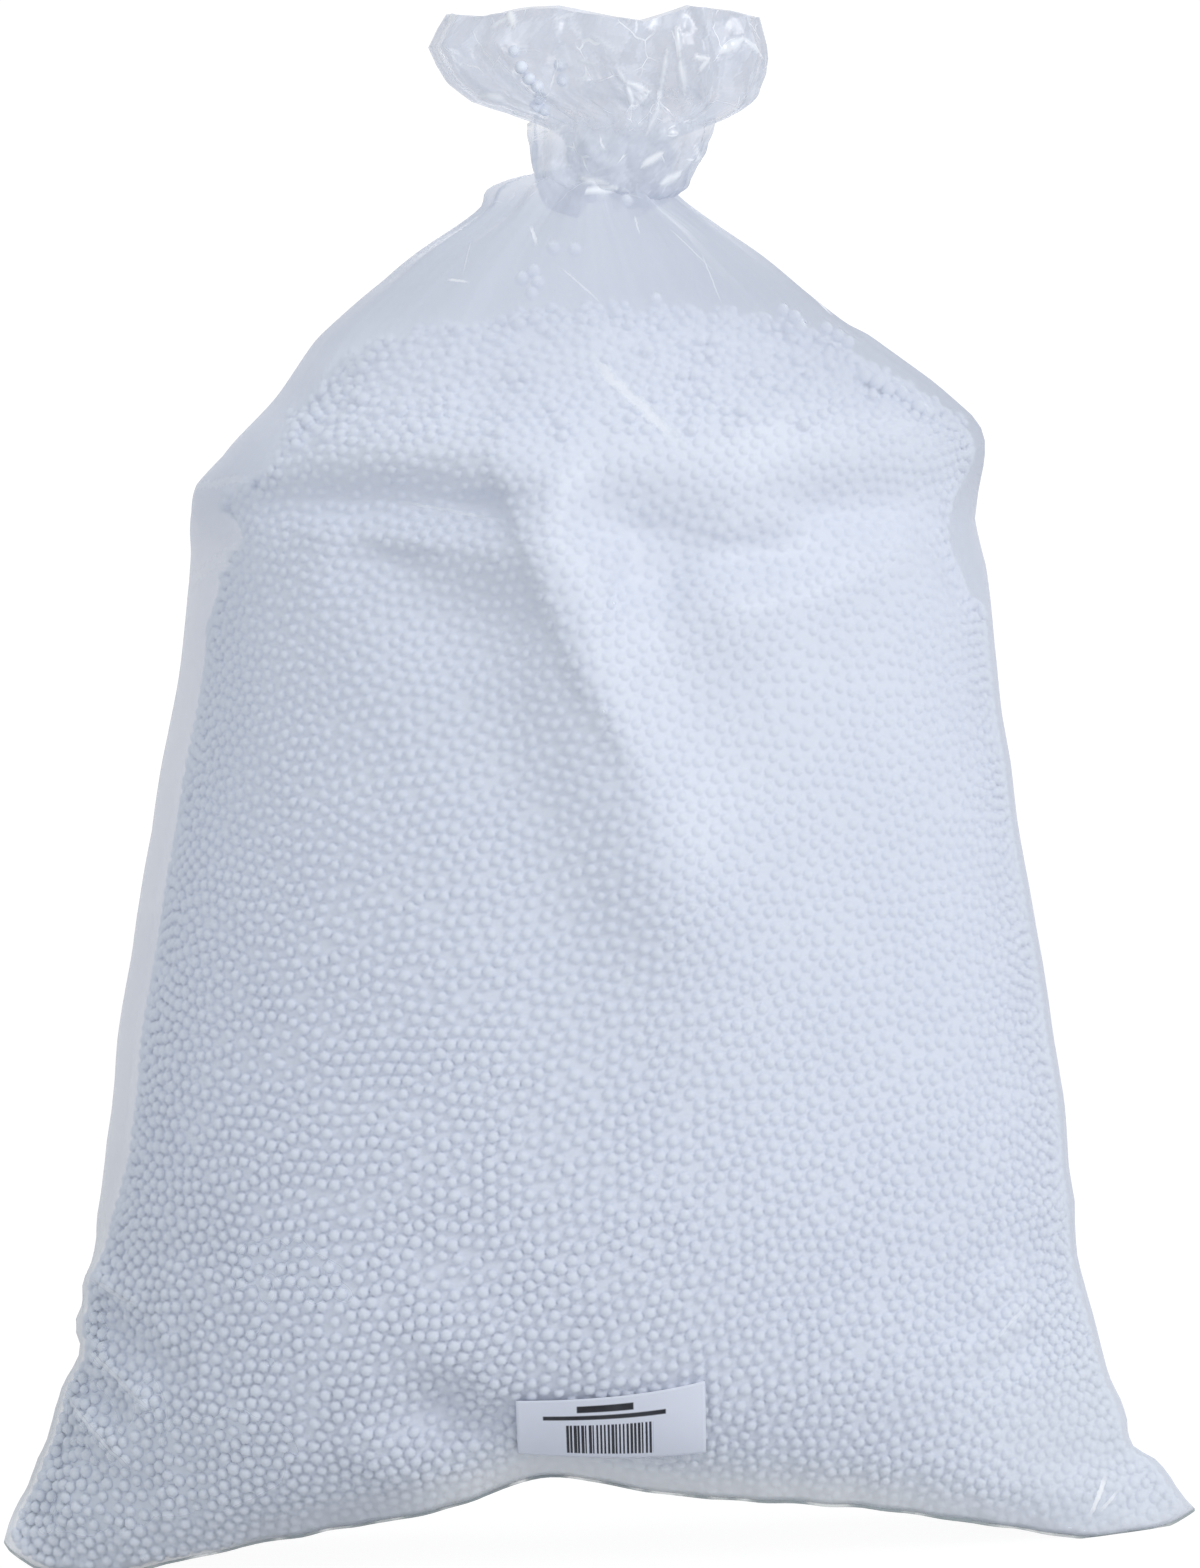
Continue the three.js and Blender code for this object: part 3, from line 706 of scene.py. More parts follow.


# Film finish: milky where it is slack, nearly clear where it lies on the beads, with painted white highlights
# along creases and painted light and shade in its tint
streakSettings = (
    # painted highlights along creases and folds: from x, z to x, z in millimetres on the front, width,
    # strength
    (12, 522, 57, 474, 2.8, 0.5),
    (-46, 557, -35, 555, 0.9, 0.8),
    (-9, 580, -6, 569, 1.0, 0.7),
    (213, 9, 223, 28, 1.5, 0.9),
    (218, 11, 228, 20, 1.0, 0.6),
    (-221, 130, -194, 118, 1.2, 0.45),
    (-222, 99, -190, 74, 1.2, 0.5),
    (-234, 78, -201, 47, 1.2, 0.45),
    (190, 108, 168, 90, 1.0, 0.35),
    (112, 548, 122, 536, 0.8, 0.6),
    (-35, 575, -39, 557, 0.5, 0.35),
    (2, 561, 22, 541, 0.6, 0.4),
    (64, 565, 72, 540, 0.5, 0.35),
    (50, 577, 70, 555, 0.5, 0.3),
    (36, 583, 38, 573, 0.6, 0.5),
    (-70, 462, -20, 450, 0.9, 0.35),
    (-162, 473, -130, 475, 2.6, 0.3),
    (-167, 430, -131, 450, 3.2, 0.3),
)

filmFinish = {
    "dark": (0.5, 0.538, 0.64),
    "light": (0.69, 0.728, 0.825),
    # painted shade for the right of the cone
    "rightCone": (0.4, 0.43, 0.51),
    # painted shade low on the left
    "lowLeft": (0.46, 0.495, 0.55),
    # painted light along the bottom edge and on the ears
    "foot": (0.69, 0.725, 0.79),
    # painted light under the label
    "underLabel": (0.88, 0.9, 0.93),
    # painted highlight colour of creases and streaks
    "crease": (0.95, 0.97, 1.0),
}


def filmMaterial():
    graph = Graph("clear film")
    colours = filmFinish
    place = graph.node("ShaderNodeSeparateXYZ", None, {0: graph.place()})
    x, y, z = place.out(0), place.out(1), place.out(2)
    slack, line, facetShade = graph.painted("slack"), graph.painted("line"), graph.painted("facetShade")
    foot, touch = graph.painted("foot"), graph.painted("touch")
    haze = graph.noise(9, 3.0, 0.55)
    crinkle = graph.noise(150, 3.0, 0.6)
    edge = graph.node("ShaderNodeLayerWeight", None, {"Blend": 0.3}).out("Facing")
    # Thin painted highlights along creases in the loose film, broken up so that only short lengths show.
    bent = graph.node("ShaderNodeVectorMath", {"operation": "MULTIPLY_ADD"}, {
        0: graph.node("ShaderNodeTexNoise", None, {"Vector": graph.place(), "Scale": 45.0}).out("Color"),
        1: (0.008, 0.008, 0.016),
        2: graph.place(),
    }).out()
    cells = graph.node("ShaderNodeTexVoronoi", {"feature": "DISTANCE_TO_EDGE"}, {
        "Vector": bent,
        "Scale": 55.0,
    }).out()
    broken = graph.noise(85, 1.0, 0.5).ramp(0.5, 0.62)
    paintedGlints = (0.75 * cells.ramp(0.026, 0.006) * broken * z.ramp(0.585, 0.61)).most(line)
    for startX, startZ, endX, endZ, width, strength in streakSettings:
        length = math.hypot(endX - startX, endZ - startZ)
        wayX, wayZ = (endX - startX) / length, (endZ - startZ) / length
        along = (x * (wayX / mm) + z * (wayZ / mm)) - (startX * wayX + startZ * wayZ)
        aside = (x * (wayZ / mm) - z * (wayX / mm)) - (startX * wayZ - startZ * wayX)
        across = (aside + 2 * width * (crinkle - 0.5)).math("ABSOLUTE").ramp(width, width * 0.3)
        inside = along.ramp(0, length * 0.25) * along.ramp(length, length * 0.6)
        paintedGlints = paintedGlints.most(across * inside * (y < 0) * strength)
    # How much the film covers: where it clings to the beads, then where it hangs free.
    ear = x.ramp(0.12, 0.2) * z.ramp(0.14, 0.05)
    cling = (x * 1.2 + z).ramp(0.0, 0.5, 0.36, 0.56) - 0.16 * y.ramp(-0.05, 0.08)
    # The film is denser along the bottom edge on the left and on the ears, so that its painted light shows
    # there.
    cling = cling.most(0.78 * foot * x.ramp(-0.24, -0.1)).most(0.66 * ear) + 0.3 * edge ** 2
    bare = z.ramp(0.588, 0.605, 0.68, 0.44) + z.ramp(0.615, 0.65, 0, 0.15)
    bare = bare - 0.2 * x.ramp(-0.1, -0.17) * z.ramp(0.48, 0.44)
    cover = slack.ramp(0, 1, cling, bare) + 0.14 * (haze - 0.5) + 0.12 * facetShade - 0.45 * touch
    # Its colour: painted light over the heap and the neck, painted shade low on the left and on the right of
    # the cone.
    lowLeft = x.ramp(-0.05, -0.24) * z.ramp(0.25, 0.05)
    onHeap = z.ramp(0.46, 0.49) * z.ramp(0.55, 0.52)
    # Painted light over the heap and the neck, painted shade on the upper right of the cone.
    paintedLightAndShade = onHeap * (0.3 + 0.25 * x.ramp(0, -0.1)) - 0.25 * x.ramp(0, 0.08) * z.ramp(0.52, 0.55)
    paintedLightAndShade = paintedLightAndShade + 0.2 * z.ramp(0.595, 0.605) * z.ramp(0.635, 0.615)
    # The haze and the painted facet shade lighten or darken the tint.
    shade = (0.5 + 0.4 * (haze - 0.5) + 0.95 * facetShade + paintedLightAndShade).mix(colours["dark"], colours["light"])
    # Painted shade on the right of the cone, strongest where the film is seen edge-on; the same mask makes
    # the film rougher there.
    rightCone = x.ramp(0.03, 0.13) * z.ramp(0.44, 0.5) * z.ramp(0.61, 0.59)
    shade = (rightCone * (0.3 + 0.6 * edge)).mix(shade, colours["rightCone"])
    # Painted shade: a darker, greyer tint low on the left.
    tint = lowLeft.mix(shade, colours["lowLeft"])
    # Painted light: a paler tint along the bottom edge and on the ears, where the film turns under into
    # shade.
    tint = (0.8 * foot).most(0.6 * ear).mix(tint, colours["foot"])
    # Painted light on the film between the label and the bottom edge.
    tint = (0.9 * foot * x.ramp(-0.1, -0.05) * x.ramp(0.2, 0.1)).mix(tint, colours["underLabel"])
    return graph.surface({
        "Base Color": paintedGlints.mix(tint, colours["crease"]),
        "Roughness": 0.38 - 0.24 * z.ramp(0.58, 0.62) + 0.1 * crinkle + 0.45 * edge * rightCone,
        "IOR": 1.5,
        "Alpha": (cover + 0.6 * paintedGlints).least(0.95),
        "Normal": graph.bump(crinkle, 0.2, 0.5 * mm),
    })


def addValues(piece, name, values):
    layer = piece.data.attributes.new(name, "FLOAT", "POINT")
    layer.data.foreach_set("value", np.asarray(values, dtype=np.float32))


def letLightPast(piece):
    piece.visible_shadow = False
    piece.visible_diffuse = False


film = filmMaterial()
filmPiece = addPiece("film", filmVerts, filmPolygons, film, "film")
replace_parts(filmPiece, "film_bag")


def filmSlack():
    # One where nothing lies behind the film, zero where beads do.
    bare = np.zeros(len(filmVerts))
    for i, point in enumerate(filmVerts):
        way = Vector((0, 1 if point[1] < 0 else -1, 0))
        bare[i] = fillTree.ray_cast(Vector(point) - way * 2 * mm, way)[0] is None
    shape = filmGridPoints.shape[:2]
    even = bare[: shape[0] * shape[1]].reshape(shape)
    for turn in range(2):
        even = sum(np.roll(even, step, axis=1) for step in (-1, 0, 1)) / 3
        padded = np.concatenate([even[:1], even, even[-1:]])
        even = (padded[:-2] + padded[1:-1] + padded[2:]) / 3
    bare[: shape[0] * shape[1]] = even.ravel()
    return bare


gapToFill = np.array([fillTree.find_nearest(Vector(point))[3] for point in filmVerts])
addValues(filmPiece, "slack", np.maximum(filmSlack(), 0.9 * smoothStep(1 * mm, 9 * mm, gapToFill)))
# Where the crown's creases get painted highlights.
addValues(filmPiece, "line", crownLines(filmVerts))
# The facets' painted shade, which lightens or darkens the film's tint.
addValues(filmPiece, "facetShade", np.concatenate([filmFacetShade, np.zeros(len(extraPoints))]))
aboveEdge = (filmGridPoints[:, :, 2] - filmGridPoints[:1, :, 2]).ravel()
nearEdge = smoothStep(30 * mm, 4 * mm, aboveEdge)
addValues(filmPiece, "foot", np.concatenate([nearEdge, np.ones(len(extraPoints))]))
letLightPast(filmPiece)


# Gathered film that hangs over the tape
gatherSettings = {
    "rises": (640, 630, 616, 602, 593, 588),
    "middles": (32, 32, 32, 29, 29, 29),
    "halfWidths": (30, 38, 39, 34.5, 30, 18),
    "depthShare": 0.66,
    "columns": 220,
    "rows": 48,
    "pleats": 11,
    "pleatDepth": 0.04,
    "girth": 210,
    "crownLines": 1.0,
    "fadeHeights": (612 * mm, 634 * mm),
}

# Sizes of the gathered film's facets: height in millimetres, painted facet shade, spacing in millimetres
gatherFacets = (
    {"height": 2.4, "facetShade": 0.3, "spacing": 15, "squash": 0.7, "seed": 41},
    {"height": 1.3, "facetShade": 0.4, "spacing": 8, "squash": 1.0, "seed": 42},
    {"height": 0.6, "facetShade": 0.3, "spacing": 4.5, "squash": 1.0, "seed": 43},
)


def gatherPiece():
    s = gatherSettings
    place = np.linspace(0, len(s["rises"]) - 1, s["rows"])
    knots = np.array([s["rises"], s["middles"], s["halfWidths"]], dtype=float).T
    rise, middle, half = through(knots, place, 0, False).T
    turn = np.arange(s["columns"]) * 2 * np.pi / s["columns"]
    pleat = turn * s["pleats"] / (2 * np.pi) + 0.3 * np.sin(2 * turn)
    wave = 1 + s["pleatDepth"] * (np.abs(pleat % 1 - 0.5) * 4 - 1)
    reach = half[:, None] * wave[None, :]
    points = np.stack([
        middle[:, None] + reach * np.cos(turn),
        reach * np.sin(turn) * s["depthShare"],
        np.repeat(rise[:, None], s["columns"], axis=1) + 2.5 * np.sin(3 * turn + 1)[None, :],
    ], axis=-1) * mm
    points = points[::-1]
    normals = gridNormals(points).reshape(-1, 3)
    flat = points.reshape(-1, 3)
    across = np.tile(turn, s["rows"]) / (2 * np.pi) * s["girth"]
    facets, facetShades = crumpled(gatherFacets, across, flat[:, 2] / mm, s["girth"])
    push = facets + s["crownLines"] * crownLines(flat)
    moved = flat + normals * push[:, None] * mm
    piece = addPiece("gathered_film", moved, ringFaces(*points.shape[:2]), film, "film")
    addValues(piece, "slack", np.ones(len(moved)))
    # Where the crown's creases get painted highlights.
    addValues(piece, "line", crownLines(moved))
    # The facets' painted shade.
    addValues(piece, "facetShade", facetShades)
    # Dense low down, and clear where it meets the crown.
    addValues(piece, "touch", 1.35 * smoothStep(*s["fadeHeights"], moved[:, 2]) - 0.4)
    letLightPast(piece)


gatherPiece()


# Beads: a core under one layer of round beads, pressed against the film and loose on the heap
beadSettings = {
    "spacing": 5.75 * mm,
    "radius": 2.98 * mm,
    "radiusSpread": 0.24 * mm,
    "filmGap": 0.25 * mm,
    "tries": 9,
    "closest": 0.8,
    "relaxing": 9,
    "relaxReach": 1.12,
    "relaxPush": 0.3,
    "pieces": 4,
    "slack": 2 * mm,
    "upright": 0.45,
    "sink": (0.68, 0.32),
    "perched": 260,
    "perchLift": (0.4, 0.5),
    "floorGap": 0.3 * mm,
    "snug": 0.8,
    # points of a bead in rings: degrees from its outer pole, count
    "rings": ((38, 6), (82, 10)),
    "inner": -0.9,
    "colours": ((0.785, 0.832, 0.93), (0.835, 0.878, 0.965)),
}


def beadMaterial():
    graph = Graph("polystyrene beads")
    cell = graph.noise(330)
    drift = graph.noise(28)
    return graph.surface({
        "Base Color": drift.mix(*beadSettings["colours"]),
        "Roughness": 0.6 + 0.2 * cell,
        "Normal": graph.bump(cell, 0.2, 0.2 * mm),
    })


def sampleFill():
    # Evenly spread places on the fill's surface.
    triangles = []
    for face in fillPolygons:
        triangles += [[face[0], face[i], face[i + 1]] for i in range(1, len(face) - 1)]
    corners = fillVerts[np.array(triangles)]
    sides = corners[:, 1:] - corners[:, :1]
    areas = np.linalg.norm(np.cross(sides[:, 0], sides[:, 1]), axis=1) / 2
    spacing = beadSettings["spacing"]
    tries = int(areas.sum() / spacing**2 * beadSettings["tries"])
    pick = rng.choice(len(areas), size=tries, p=areas / areas.sum())
    u, v = rng.random(tries), rng.random(tries)
    flip = u + v > 1
    u[flip], v[flip] = 1 - u[flip], 1 - v[flip]
    a, b, c = corners[pick].transpose(1, 0, 2)
    points = a + u[:, None] * (b - a) + v[:, None] * (c - a)
    closest = spacing * beadSettings["closest"]
    cells = {}
    kept = []
    steps = [(i, j, k) for i in (-1, 0, 1) for j in (-1, 0, 1) for k in (-1, 0, 1)]
    for point in points.tolist():
        x, y, z = (int(value // closest) for value in point)
        near = [other for i, j, k in steps for other in cells.get((x + i, y + j, z + k), ())]
        if all(math.dist(point, other) > closest for other in near):
            cells.setdefault((x, y, z), []).append(point)
            kept.append(point)
    return np.array(kept)


def relax(points):
    s = beadSettings
    reach = s["spacing"] * s["relaxReach"]
    for turn in range(s["relaxing"]):
        lookup = KDTree(len(points))
        for i, point in enumerate(points):
            lookup.insert(point, i)
        lookup.balance()
        moved = points.copy()
        for i, point in enumerate(points):
            for other, j, distance in lookup.find_n(point, 8):
                if j != i and distance < reach:
                    way = s["relaxPush"] * (point - np.array(other)) / max(distance, 1e-6)
                    moved[i] += way * (reach - distance)
        points = np.array([fillTree.find_nearest(Vector(point))[0][:] for point in moved])
    return points


def beadDome():
    # One bead round the z axis, finest where it shows.
    points = [(0, 0, 1)]
    faces = []
    starts = []
    for angle, count in beadSettings["rings"]:
        starts.append((len(points), count))
        a = math.radians(angle)
        for k in range(count):
            b = 2 * math.pi * k / count
            points.append((math.sin(a) * math.cos(b), math.sin(a) * math.sin(b), math.cos(a)))
    first, count = starts[0]
    faces += [(0, first + k, first + (k + 1) % count) for k in range(count)]
    for (low, few), (high, many) in zip(starts, starts[1:]):
        i = j = 0
        while i < few or j < many:
            a, b = low + i % few, high + j % many
            if j < many and (i >= few or (j + 1) / many <= (i + 1) / few):
                faces.append((a, b, high + (j + 1) % many))
                j += 1
            else:
                faces.append((a, b, low + (i + 1) % few))
                i += 1
    last, count = starts[-1]
    points.append((0, 0, beadSettings["inner"]))
    faces += [(last + (k + 1) % count, last + k, len(points) - 1) for k in range(count)]
    return np.array(points), np.array(faces)


def beadMesh(centres, normals, radii):
    shape, faces = beadDome()
    helper = np.where(np.abs(normals[:, 2:3]) < 0.9, [[0, 0, 1.0]], [[1.0, 0, 0]])
    side = unit(np.cross(helper, normals))
    other = np.cross(normals, side)
    spin = rng.random(len(centres)) * 2 * np.pi
    across = np.cos(spin)[:, None] * side + np.sin(spin)[:, None] * other
    axes = np.stack([across, np.cross(normals, across), normals], axis=1)
    points = centres[:, None] + np.einsum("pk,bkc->bpc", shape, axes) * radii[:, None, None]
    index = faces[None] + (np.arange(len(centres)) * len(shape))[:, None, None]
    return points.reshape(-1, 3), index.reshape(-1, 3)


def seatBeads(spots):
    # Beads at the film touch it, the others lie at their own height in the heap.
    s = beadSettings
    centres = np.zeros_like(spots)
    outward = np.zeros_like(spots)
    radii = s["radius"] + rng.normal(0, s["radiusSpread"], len(spots))
    least, spread = s["sink"]
    sink = least + spread * rng.random(len(spots))
    free = np.zeros(len(spots), dtype=bool)
    for i, spot in enumerate(spots):
        met, facing = fillTree.find_nearest(Vector(spot))[:2]
        outward[i] = facing
        free[i] = facing.z > s["upright"] and filmTree.find_nearest(Vector(spot))[3] > s["slack"]
        depth = radii[i] * sink[i] if free[i] else radii[i] + s["filmGap"]
        centres[i] = np.array(met) - outward[i] * depth
    # Some lie on top of the others.
    onTop = np.flatnonzero(free)
    onTop = rng.choice(onTop, size=min(s["perched"], len(onTop)), replace=False)
    least, spread = s["perchLift"]
    lift = rng.random(len(onTop))[:, None] * spread + least
    centres = np.concatenate([centres, centres[onTop] + outward[onTop] * radii[onTop][:, None] * lift])
    outward = np.concatenate([outward, outward[onTop]])
    radii = np.concatenate([radii, radii[onTop]])
    for turn in range(3):
        centres[:, 2] = np.maximum(centres[:, 2], radii + s["floorGap"])
        room = np.array([filmTree.find_nearest(Vector(centre))[3] for centre in centres])
        centres -= outward * np.maximum(radii - room, 0)[:, None] * s["snug"]
    fits = room > radii * s["snug"]
    return centres[fits], outward[fits], radii[fits]


print("spreading the beads")
beads = beadMaterial()
centres, outward, radii = seatBeads(relax(sampleFill()))
print("beads", len(centres))
order = np.argsort(centres[:, 2], kind="stable")
for number, part in enumerate(np.array_split(order, beadSettings["pieces"])):
    layer = beadMesh(centres[part], outward[part], radii[part])
    piece = addPiece(f"beads_{number + 1}", *layer, beads, "beads")
    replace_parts(piece, "bead_fill")
corePiece = addPiece("bead_core", *fillShape(core=True), beads, "beads")
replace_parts(corePiece, "bead_fill")


# Loose beads that cling to the inside of the film
looseSettings = {
    # places in x and z, in millimetres
    "crown": (
        (-13, 655), (-12, 647), (-7, 643), (-5, 638), (-3, 634), (6, 648), (7, 641), (-7, 624), (-4, 619),
        (33, 592),
    ),
    "cone": ((0, 571), (9, 570), (-9, 561), (-14, 558), (-7, 556), (-10, 551), (44, 546)),
    "shoulder": (
        (100, 541), (105, 538), (107, 533), (119, 533), (124, 530), (128, 527), (134, 511), (139, 508),
        (144, 505), (150, 503), (157, 497), (161, 494),
    ),
    "touch": 3.4 * mm,
    "lumps": 0.03,
    "filmGap": 0.4 * mm,
}


def looseMesh():
    shape = bmesh.new()
    bmesh.ops.create_icosphere(shape, subdivisions=3, radius=1)
    base = np.array([vert.co[:] for vert in shape.verts])
    faces = np.array([[vert.index for vert in face.verts] for face in shape.faces])
    shape.free()
    points = []
    index = []
    centres = []
    places = looseSettings["crown"] + looseSettings["cone"] + looseSettings["shoulder"]
    for i, (x, z) in enumerate(places):
        met, facing = filmTree.ray_cast(Vector((x * mm, -0.5, z * mm)), Vector((0, 1, 0)))[:2]
        if met is None:
            met, facing = filmTree.find_nearest(Vector((x * mm, -20 * mm, z * mm)))[:2]
        radius = beadSettings["radius"] * (0.94 + 0.1 * rng.random())
        centre = np.array(met) - np.array(facing) * (radius + looseSettings["filmGap"])
        lumps = 1 + looseSettings["lumps"] * noiseAt(base, 2.2, 20 + i)
        points.append(centre + base * radius * lumps[:, None])
        index.append(faces + i * len(base))
        centres.append(centre)
    return np.concatenate(points), np.concatenate(index), np.array(centres)


print("placing loose beads")
loosePoints, looseFaces, looseCentres = looseMesh()
loosePiece = addPiece("loose_beads", loosePoints, looseFaces, beads, "beads")
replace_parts(loosePiece, *[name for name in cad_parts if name.startswith("loose_bead")])
# The film is clearer where a bead touches it.
reach = np.linalg.norm(filmVerts[:, None] - looseCentres[None], axis=2).min(axis=1)
touch = looseSettings["touch"]
addValues(filmPiece, "touch", smoothStep(touch * 1.25, touch * 0.9, reach))


# Welded hem along the bottom edge, dark grey as painted shade of the empty film strip there
hemSettings = {
    "width": 1.3 * mm,
    "wall": 0.4 * mm,
    "forward": 0.8,
    "down": 0.6,
    "waviness": 0.35,
    # dark grey-green: painted shade of the empty film under the weld
    "colours": ((0.25, 0.29, 0.29), (0.42, 0.47, 0.49)),
}


def hemMaterial():
    graph = Graph("welded hem")
    wave = graph.noise(70)
    return graph.surface({
        "Base Color": wave.mix(*hemSettings["colours"]),
        "Roughness": 0.25 + 0.15 * wave,
        "Alpha": wave.ramp(0.35, 0.65, 0.3, 0.9),
        "Normal": graph.bump(wave, 0.3, 0.4 * mm),
    })


def hemPiece():
    s = hemSettings
    columns = filmGridPoints.shape[1]
    edge = np.concatenate([filmGridPoints[0, columns // 2 :], filmGridPoints[0, :1]])
    wave = 1 + s["waviness"] * noiseAt(edge, 45, 51)
    outer = edge + np.array([0, -s["forward"], -s["down"]]) * (s["width"] * wave)[:, None]
    lift = np.array([0, -s["down"], s["forward"]]) * s["wall"] / 2
    rails = np.stack([edge + lift, outer + lift, outer - lift, edge - lift], axis=1)
    rails[:, :, 2] = np.maximum(rails[:, :, 2], [0.5 * mm, 0.5 * mm, 0.1 * mm, 0.1 * mm])
    faces = []
    for i in range(len(edge) - 1):
        for k in range(4):
            faces.append([4 * i + k, 4 * i + (k + 1) % 4, 4 * i + 4 + (k + 1) % 4, 4 * i + 4 + k])
    faces += [[3, 2, 1, 0], [len(edge) * 4 - 4 + k for k in range(4)]]
    addPiece("bottom_hem", rails.reshape(-1, 3), faces, hemMaterial(), "film", smooth=False)


hemPiece()


# Label: a plain sheet with generic bars and strips
labelSettings = {
    "wide": 66,
    "high": 30,
    "lift": 0.3 * mm,
    "wall": 0.2 * mm,
    "sag": 2.2 * mm,
    # the sheet's corners in x and z, in millimetres
    "low": ((-33.5, 55.7), (46.3, 54.5)),
    "top": ((-33.2, 81.5), (46.7, 87.5)),
    # printed fields as shares of the width and of the height
    "barCells": 50,
    "bars": ((0.26, 0.72), (0.07, 0.56)),
    "strips": (((0.32, 0.62), (0.77, 0.88)), ((0.14, 0.79), (0.65, 0.72))),
    "paper": ((0.77, 0.805, 0.92), (0.83, 0.86, 0.965)),
    "ink": (0.02, 0.022, 0.03),
}


def labelMaterial():
    s = labelSettings
    graph = Graph("plain label")
    place = graph.node("ShaderNodeSeparateXYZ", None, {0: graph.place("UV")})
    u, v = place.out(0), place.out(1)

    def inside(value, low, high, soft):
        return value.ramp(low - soft, low + soft) * (1 - value.ramp(high - soft, high + soft))

    def field(across, up):
        return inside(u, *across, 0.004) * inside(v, *up, 0.01)

    run = u * s["barCells"]
    stripe = run.math("FLOOR")
    share = graph.node("ShaderNodeTexWhiteNoise", {"noise_dimensions": "1D"}, {"W": stripe}).out()
    printed = (0.38 + 0.5 * share - (run - stripe)).above(0) * field(*s["bars"])
    for strip in s["strips"]:
        printed = printed + field(*strip)
    fade = graph.noise(60, 3.0, 0.6)
    ink = printed.least(1.0) * (0.93 + 0.1 * fade)
    paper = graph.noise(35).mix(*s["paper"])
    return graph.surface({
        "Base Color": ink.mix(paper, s["ink"]),
        "Roughness": 0.5 + 0.15 * fade,
        "Specular IOR Level": 0.2,
        "Normal": graph.bump(graph.noise(420, 2.0, 0.6), 0.12, 0.1 * mm),
    })


def labelPiece():
    s = labelSettings
    wide, high = s["wide"], s["high"]
    u, v = np.meshgrid(np.linspace(0, 1, wide + 1), np.linspace(0, 1, high + 1), indexing="ij")
    low, top = (np.array(s[name]) * mm for name in ("low", "top"))
    lowEdge = low[0] + u[:, :, None] * (low[1] - low[0])
    topEdge = top[0] + u[:, :, None] * (top[1] - top[0])
    flat = (lowEdge + v[:, :, None] * (topEdge - lowEdge)).reshape(-1, 2)
    flat[:, 1] -= s["sag"] * (4 * u * (1 - u)).reshape(-1)
    ahead = Vector((0, 1, 0))
    film = np.array([filmTree.ray_cast(Vector((x, -0.5, z)), ahead)[0].y for x, z in flat])
    # A stiff sheet: one smooth curve over the film, just clear of it everywhere.
    x, z = flat[:, 0] - flat[:, 0].mean(), flat[:, 1] - flat[:, 1].mean()
    terms = np.stack([x**i * z**j for i in range(4) for j in range(4 - i)], axis=1)
    face = terms @ np.linalg.lstsq(terms, film, rcond=None)[0]
    clear = max(0, (face - film).max())
    print("label stands off", round(clear / mm, 2))
    inner = np.stack([flat[:, 0], face - clear - s["lift"], flat[:, 1]], axis=1)
    outer = inner - np.array([0, s["wall"], 0])
    count = (wide + 1) * (high + 1)

    def at(i, j):
        return i * (high + 1) + j

    faces = []
    for i in range(wide):
        for j in range(high):
            quad = [at(i, j), at(i + 1, j), at(i + 1, j + 1), at(i, j + 1)]
            faces += [quad, [count + k for k in reversed(quad)]]
    border = [at(i, 0) for i in range(wide)] + [at(wide, j) for j in range(high)]
    border += [at(wide - i, high) for i in range(wide)] + [at(0, high - j) for j in range(high)]
    for a, b in zip(border, border[1:] + border[:1]):
        faces.append([b, a, count + a, count + b])
    piece = addPiece("label_sheet", np.concatenate([outer, inner]), faces, labelMaterial(), "label")
    layer = piece.data.uv_layers.new(name="sheet")
    for loop in piece.data.loops:
        k = loop.vertex_index % count
        layer.data[loop.index].uv = (k // (high + 1) / wide, k % (high + 1) / high)
    return piece


print("laying the label")
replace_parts(labelPiece(), "label")


# Neck tape: one turn of clear tape round the gathered film
tapeSettings = {"lift": 0.8 * mm, "colours": ((0.66, 0.70, 0.79), (0.72, 0.76, 0.84))}


def tapeMaterial():
    graph = Graph("clear tape")
    wave = graph.noise(55)
    return graph.surface({
        "Base Color": wave.mix(*tapeSettings["colours"]),
        "Roughness": 0.15 + 0.1 * wave,
        "Alpha": 0.08 + 0.08 * wave,
        "Normal": graph.bump(wave, 0.3, 0.8 * mm),
    })


def tapePiece():
    low, high = (corner.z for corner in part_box("neck_tape"))
    heights = filmGridPoints[:, :, 2].mean(axis=1)
    onNeck = np.flatnonzero((heights > low) & (heights < high) & (rowPlaces < filmSettings["crownRow"] + 1))
    band = filmGridPoints[onNeck] + gridNormals(filmGridPoints)[onNeck] * tapeSettings["lift"]
    piece = addPiece("tape_band", band.reshape(-1, 3), ringFaces(*band.shape[:2]), tapeMaterial(), "tape")
    piece.visible_shadow = False
    return piece


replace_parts(tapePiece(), "neck_tape")


# Stage: white where it is seen, greyer for the light that it throws back
stageSettings = {
    "thrown": (0.68, 0.68, 0.68),
    "seen": (0.95, 0.95, 0.95),
    "glow": 1.06,
    "roomColour": (0.93, 0.965, 1.0, 1),
    "roomStrength": 0.79,
}

lampSettings = (
    {"name": "key", "place": (1.75, -1.9, 1.6), "aim": (0, 0, 0.33), "size": (0.9, 0.9), "power": 25,
     "colour": (1.0, 0.99, 0.98)},
    {"name": "back", "place": (0.3, 2.2, 1.8), "aim": (0, 0, 0.4), "size": (2.0, 1.0), "power": 18,
     "colour": (1.0, 1.0, 1.0)},
)

print("setting the stage")


def whiteStage(name, share):
    s = stageSettings
    graph = Graph(name)
    path = graph.node("ShaderNodeLightPath")
    straight, mirrored, passed = (path.out(f"Is {kind} Ray") for kind in ("Camera", "Glossy", "Transmission"))
    seen = (straight + mirrored + passed).least(1.0)
    shade = seen.mix(s["thrown"], s["seen"])
    matt = graph.node("ShaderNodeBsdfPrincipled", None, {"Base Color": shade, "Roughness": 0.9}).out()
    glow = graph.node("ShaderNodeEmission", None, {"Color": (1, 1, 1), "Strength": s["glow"]}).out()
    return graph.finish(graph.node("ShaderNodeMixShader", None, {0: seen * share, 1: matt, 2: glow}).out())


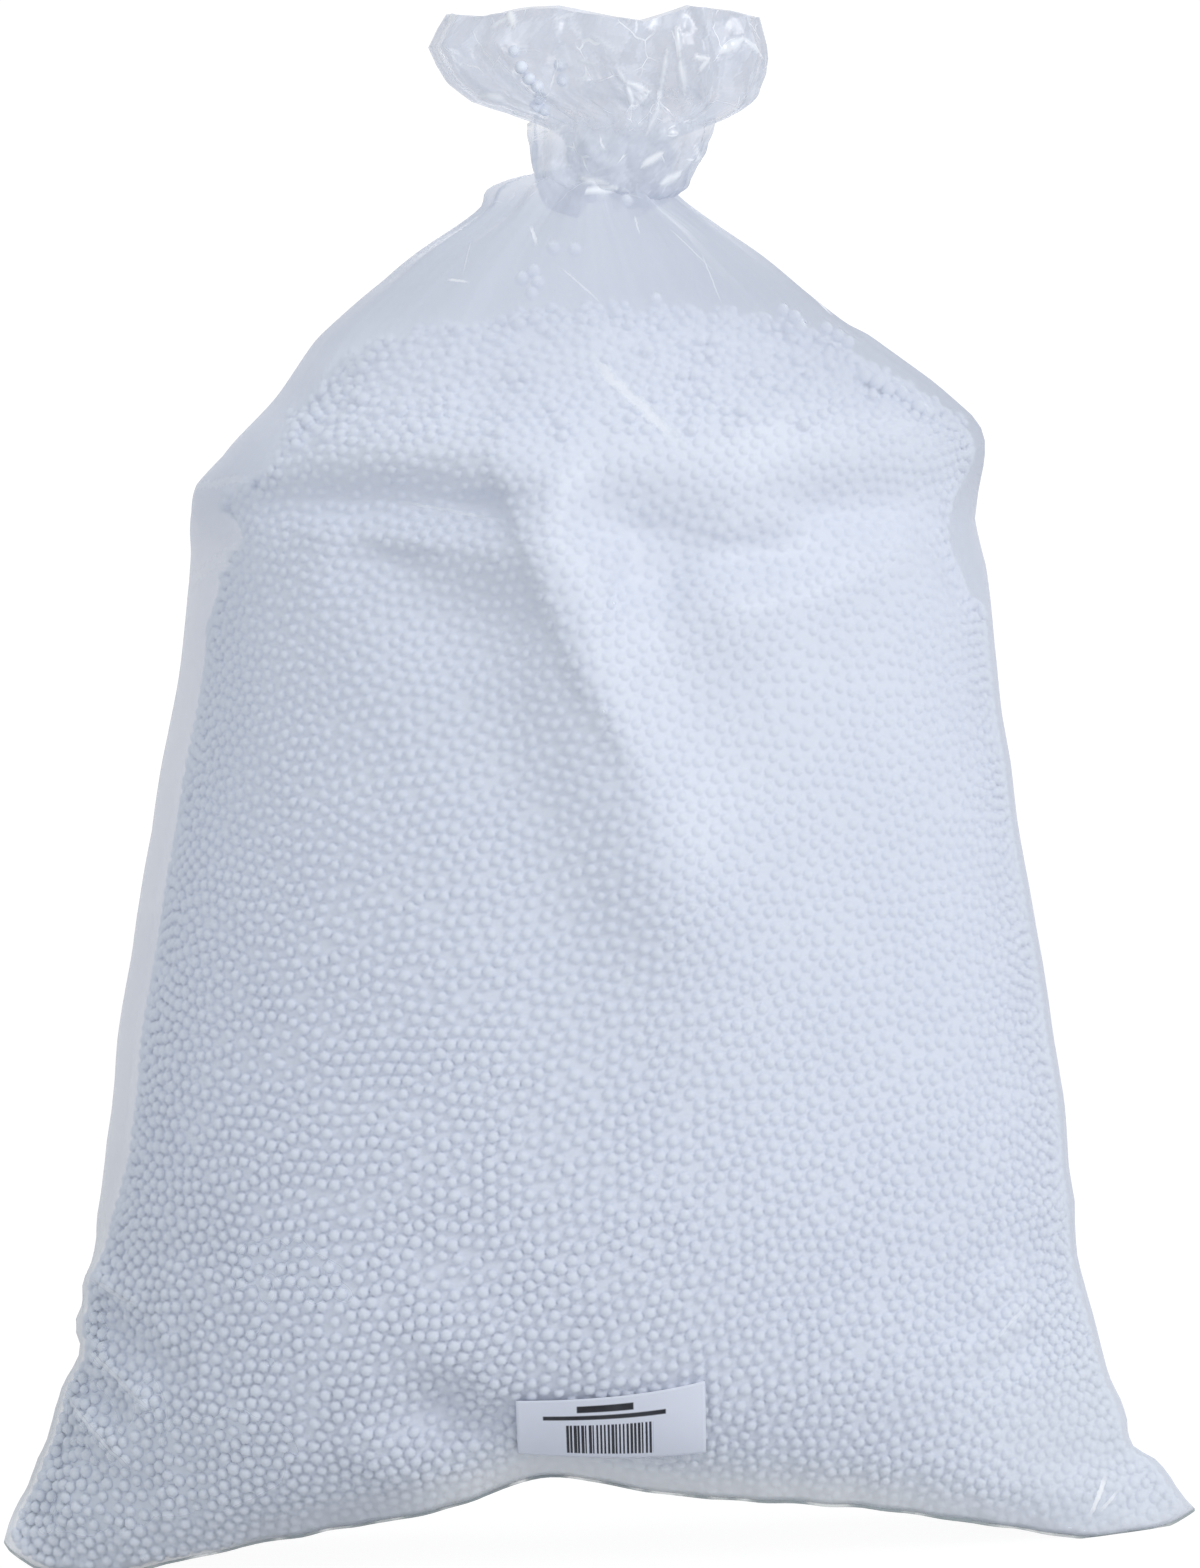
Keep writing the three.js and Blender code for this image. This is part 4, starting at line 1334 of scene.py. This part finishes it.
def addStage(name, corners, material):
    mesh = bpy.data.meshes.new(name)
    mesh.from_pydata(corners, [], [(0, 1, 2, 3)])
    mesh.materials.append(material)
    made = bpy.data.objects.new(name, mesh)
    scene.collection.objects.link(made)


addStage("floor", [(-6, -4, 0), (6, -4, 0), (6, 5, 0), (-6, 5, 0)], whiteStage("white floor", 0.9))
addStage("backdrop", [(-6, 5, 0), (6, 5, 0), (6, 5, 5), (-6, 5, 5)], whiteStage("white backdrop", 1.0))


def addLamp(name, place, aim, size, power, colour):
    lamp = bpy.data.lights.new(name, "AREA")
    lamp.shape = "RECTANGLE"
    lamp.size, lamp.size_y = size
    lamp.energy = power
    lamp.color = colour
    made = bpy.data.objects.new(name, lamp)
    made.location = place
    made.rotation_euler = (Vector(aim) - Vector(place)).to_track_quat("-Z", "Y").to_euler()
    scene.collection.objects.link(made)


for lamp in lampSettings:
    addLamp(**lamp)

world = bpy.data.worlds.new("soft room")
scene.world = world
world.use_nodes = True
room = world.node_tree.nodes["Background"].inputs
room["Color"].default_value = stageSettings["roomColour"]
room["Strength"].default_value = stageSettings["roomStrength"]

scene.view_settings.view_transform = "Standard"

# Camera, fitted to the photograph: level with the lower bag and rolled so that both feet stand on the floor
cameraSettings = {
    "distance": 2.2,
    "elevation": 2.0,
    "roll": -2.15,
    "target": (0.012, 0.0, 0.336),
    "millimetrePerPixel": 0.44,
    "imageHeight": 1568,
    "sensorHeight": 24.0,
}


def addCamera():
    s = cameraSettings
    tilt = math.radians(s["elevation"])
    roll = math.radians(s["roll"])
    ahead = Vector((0, math.cos(tilt), -math.sin(tilt)))
    data = bpy.data.cameras.new("camera")
    data.sensor_fit = "VERTICAL"
    data.sensor_height = s["sensorHeight"]
    focal = s["distance"] / (s["millimetrePerPixel"] * mm)
    data.lens = focal * s["sensorHeight"] / s["imageHeight"]
    made = bpy.data.objects.new("camera", data)
    scene.collection.objects.link(made)
    made.location = Vector(s["target"]) - ahead * s["distance"]
    turn = ahead.to_track_quat("-Z", "Y").to_matrix()
    right, up = turn.col[0], turn.col[1]
    right, up = right * math.cos(roll) + up * math.sin(roll), up * math.cos(roll) - right * math.sin(roll)
    turn.col[0], turn.col[1] = right, up
    made.rotation_euler = turn.to_euler()
    scene.camera = made


addCamera()
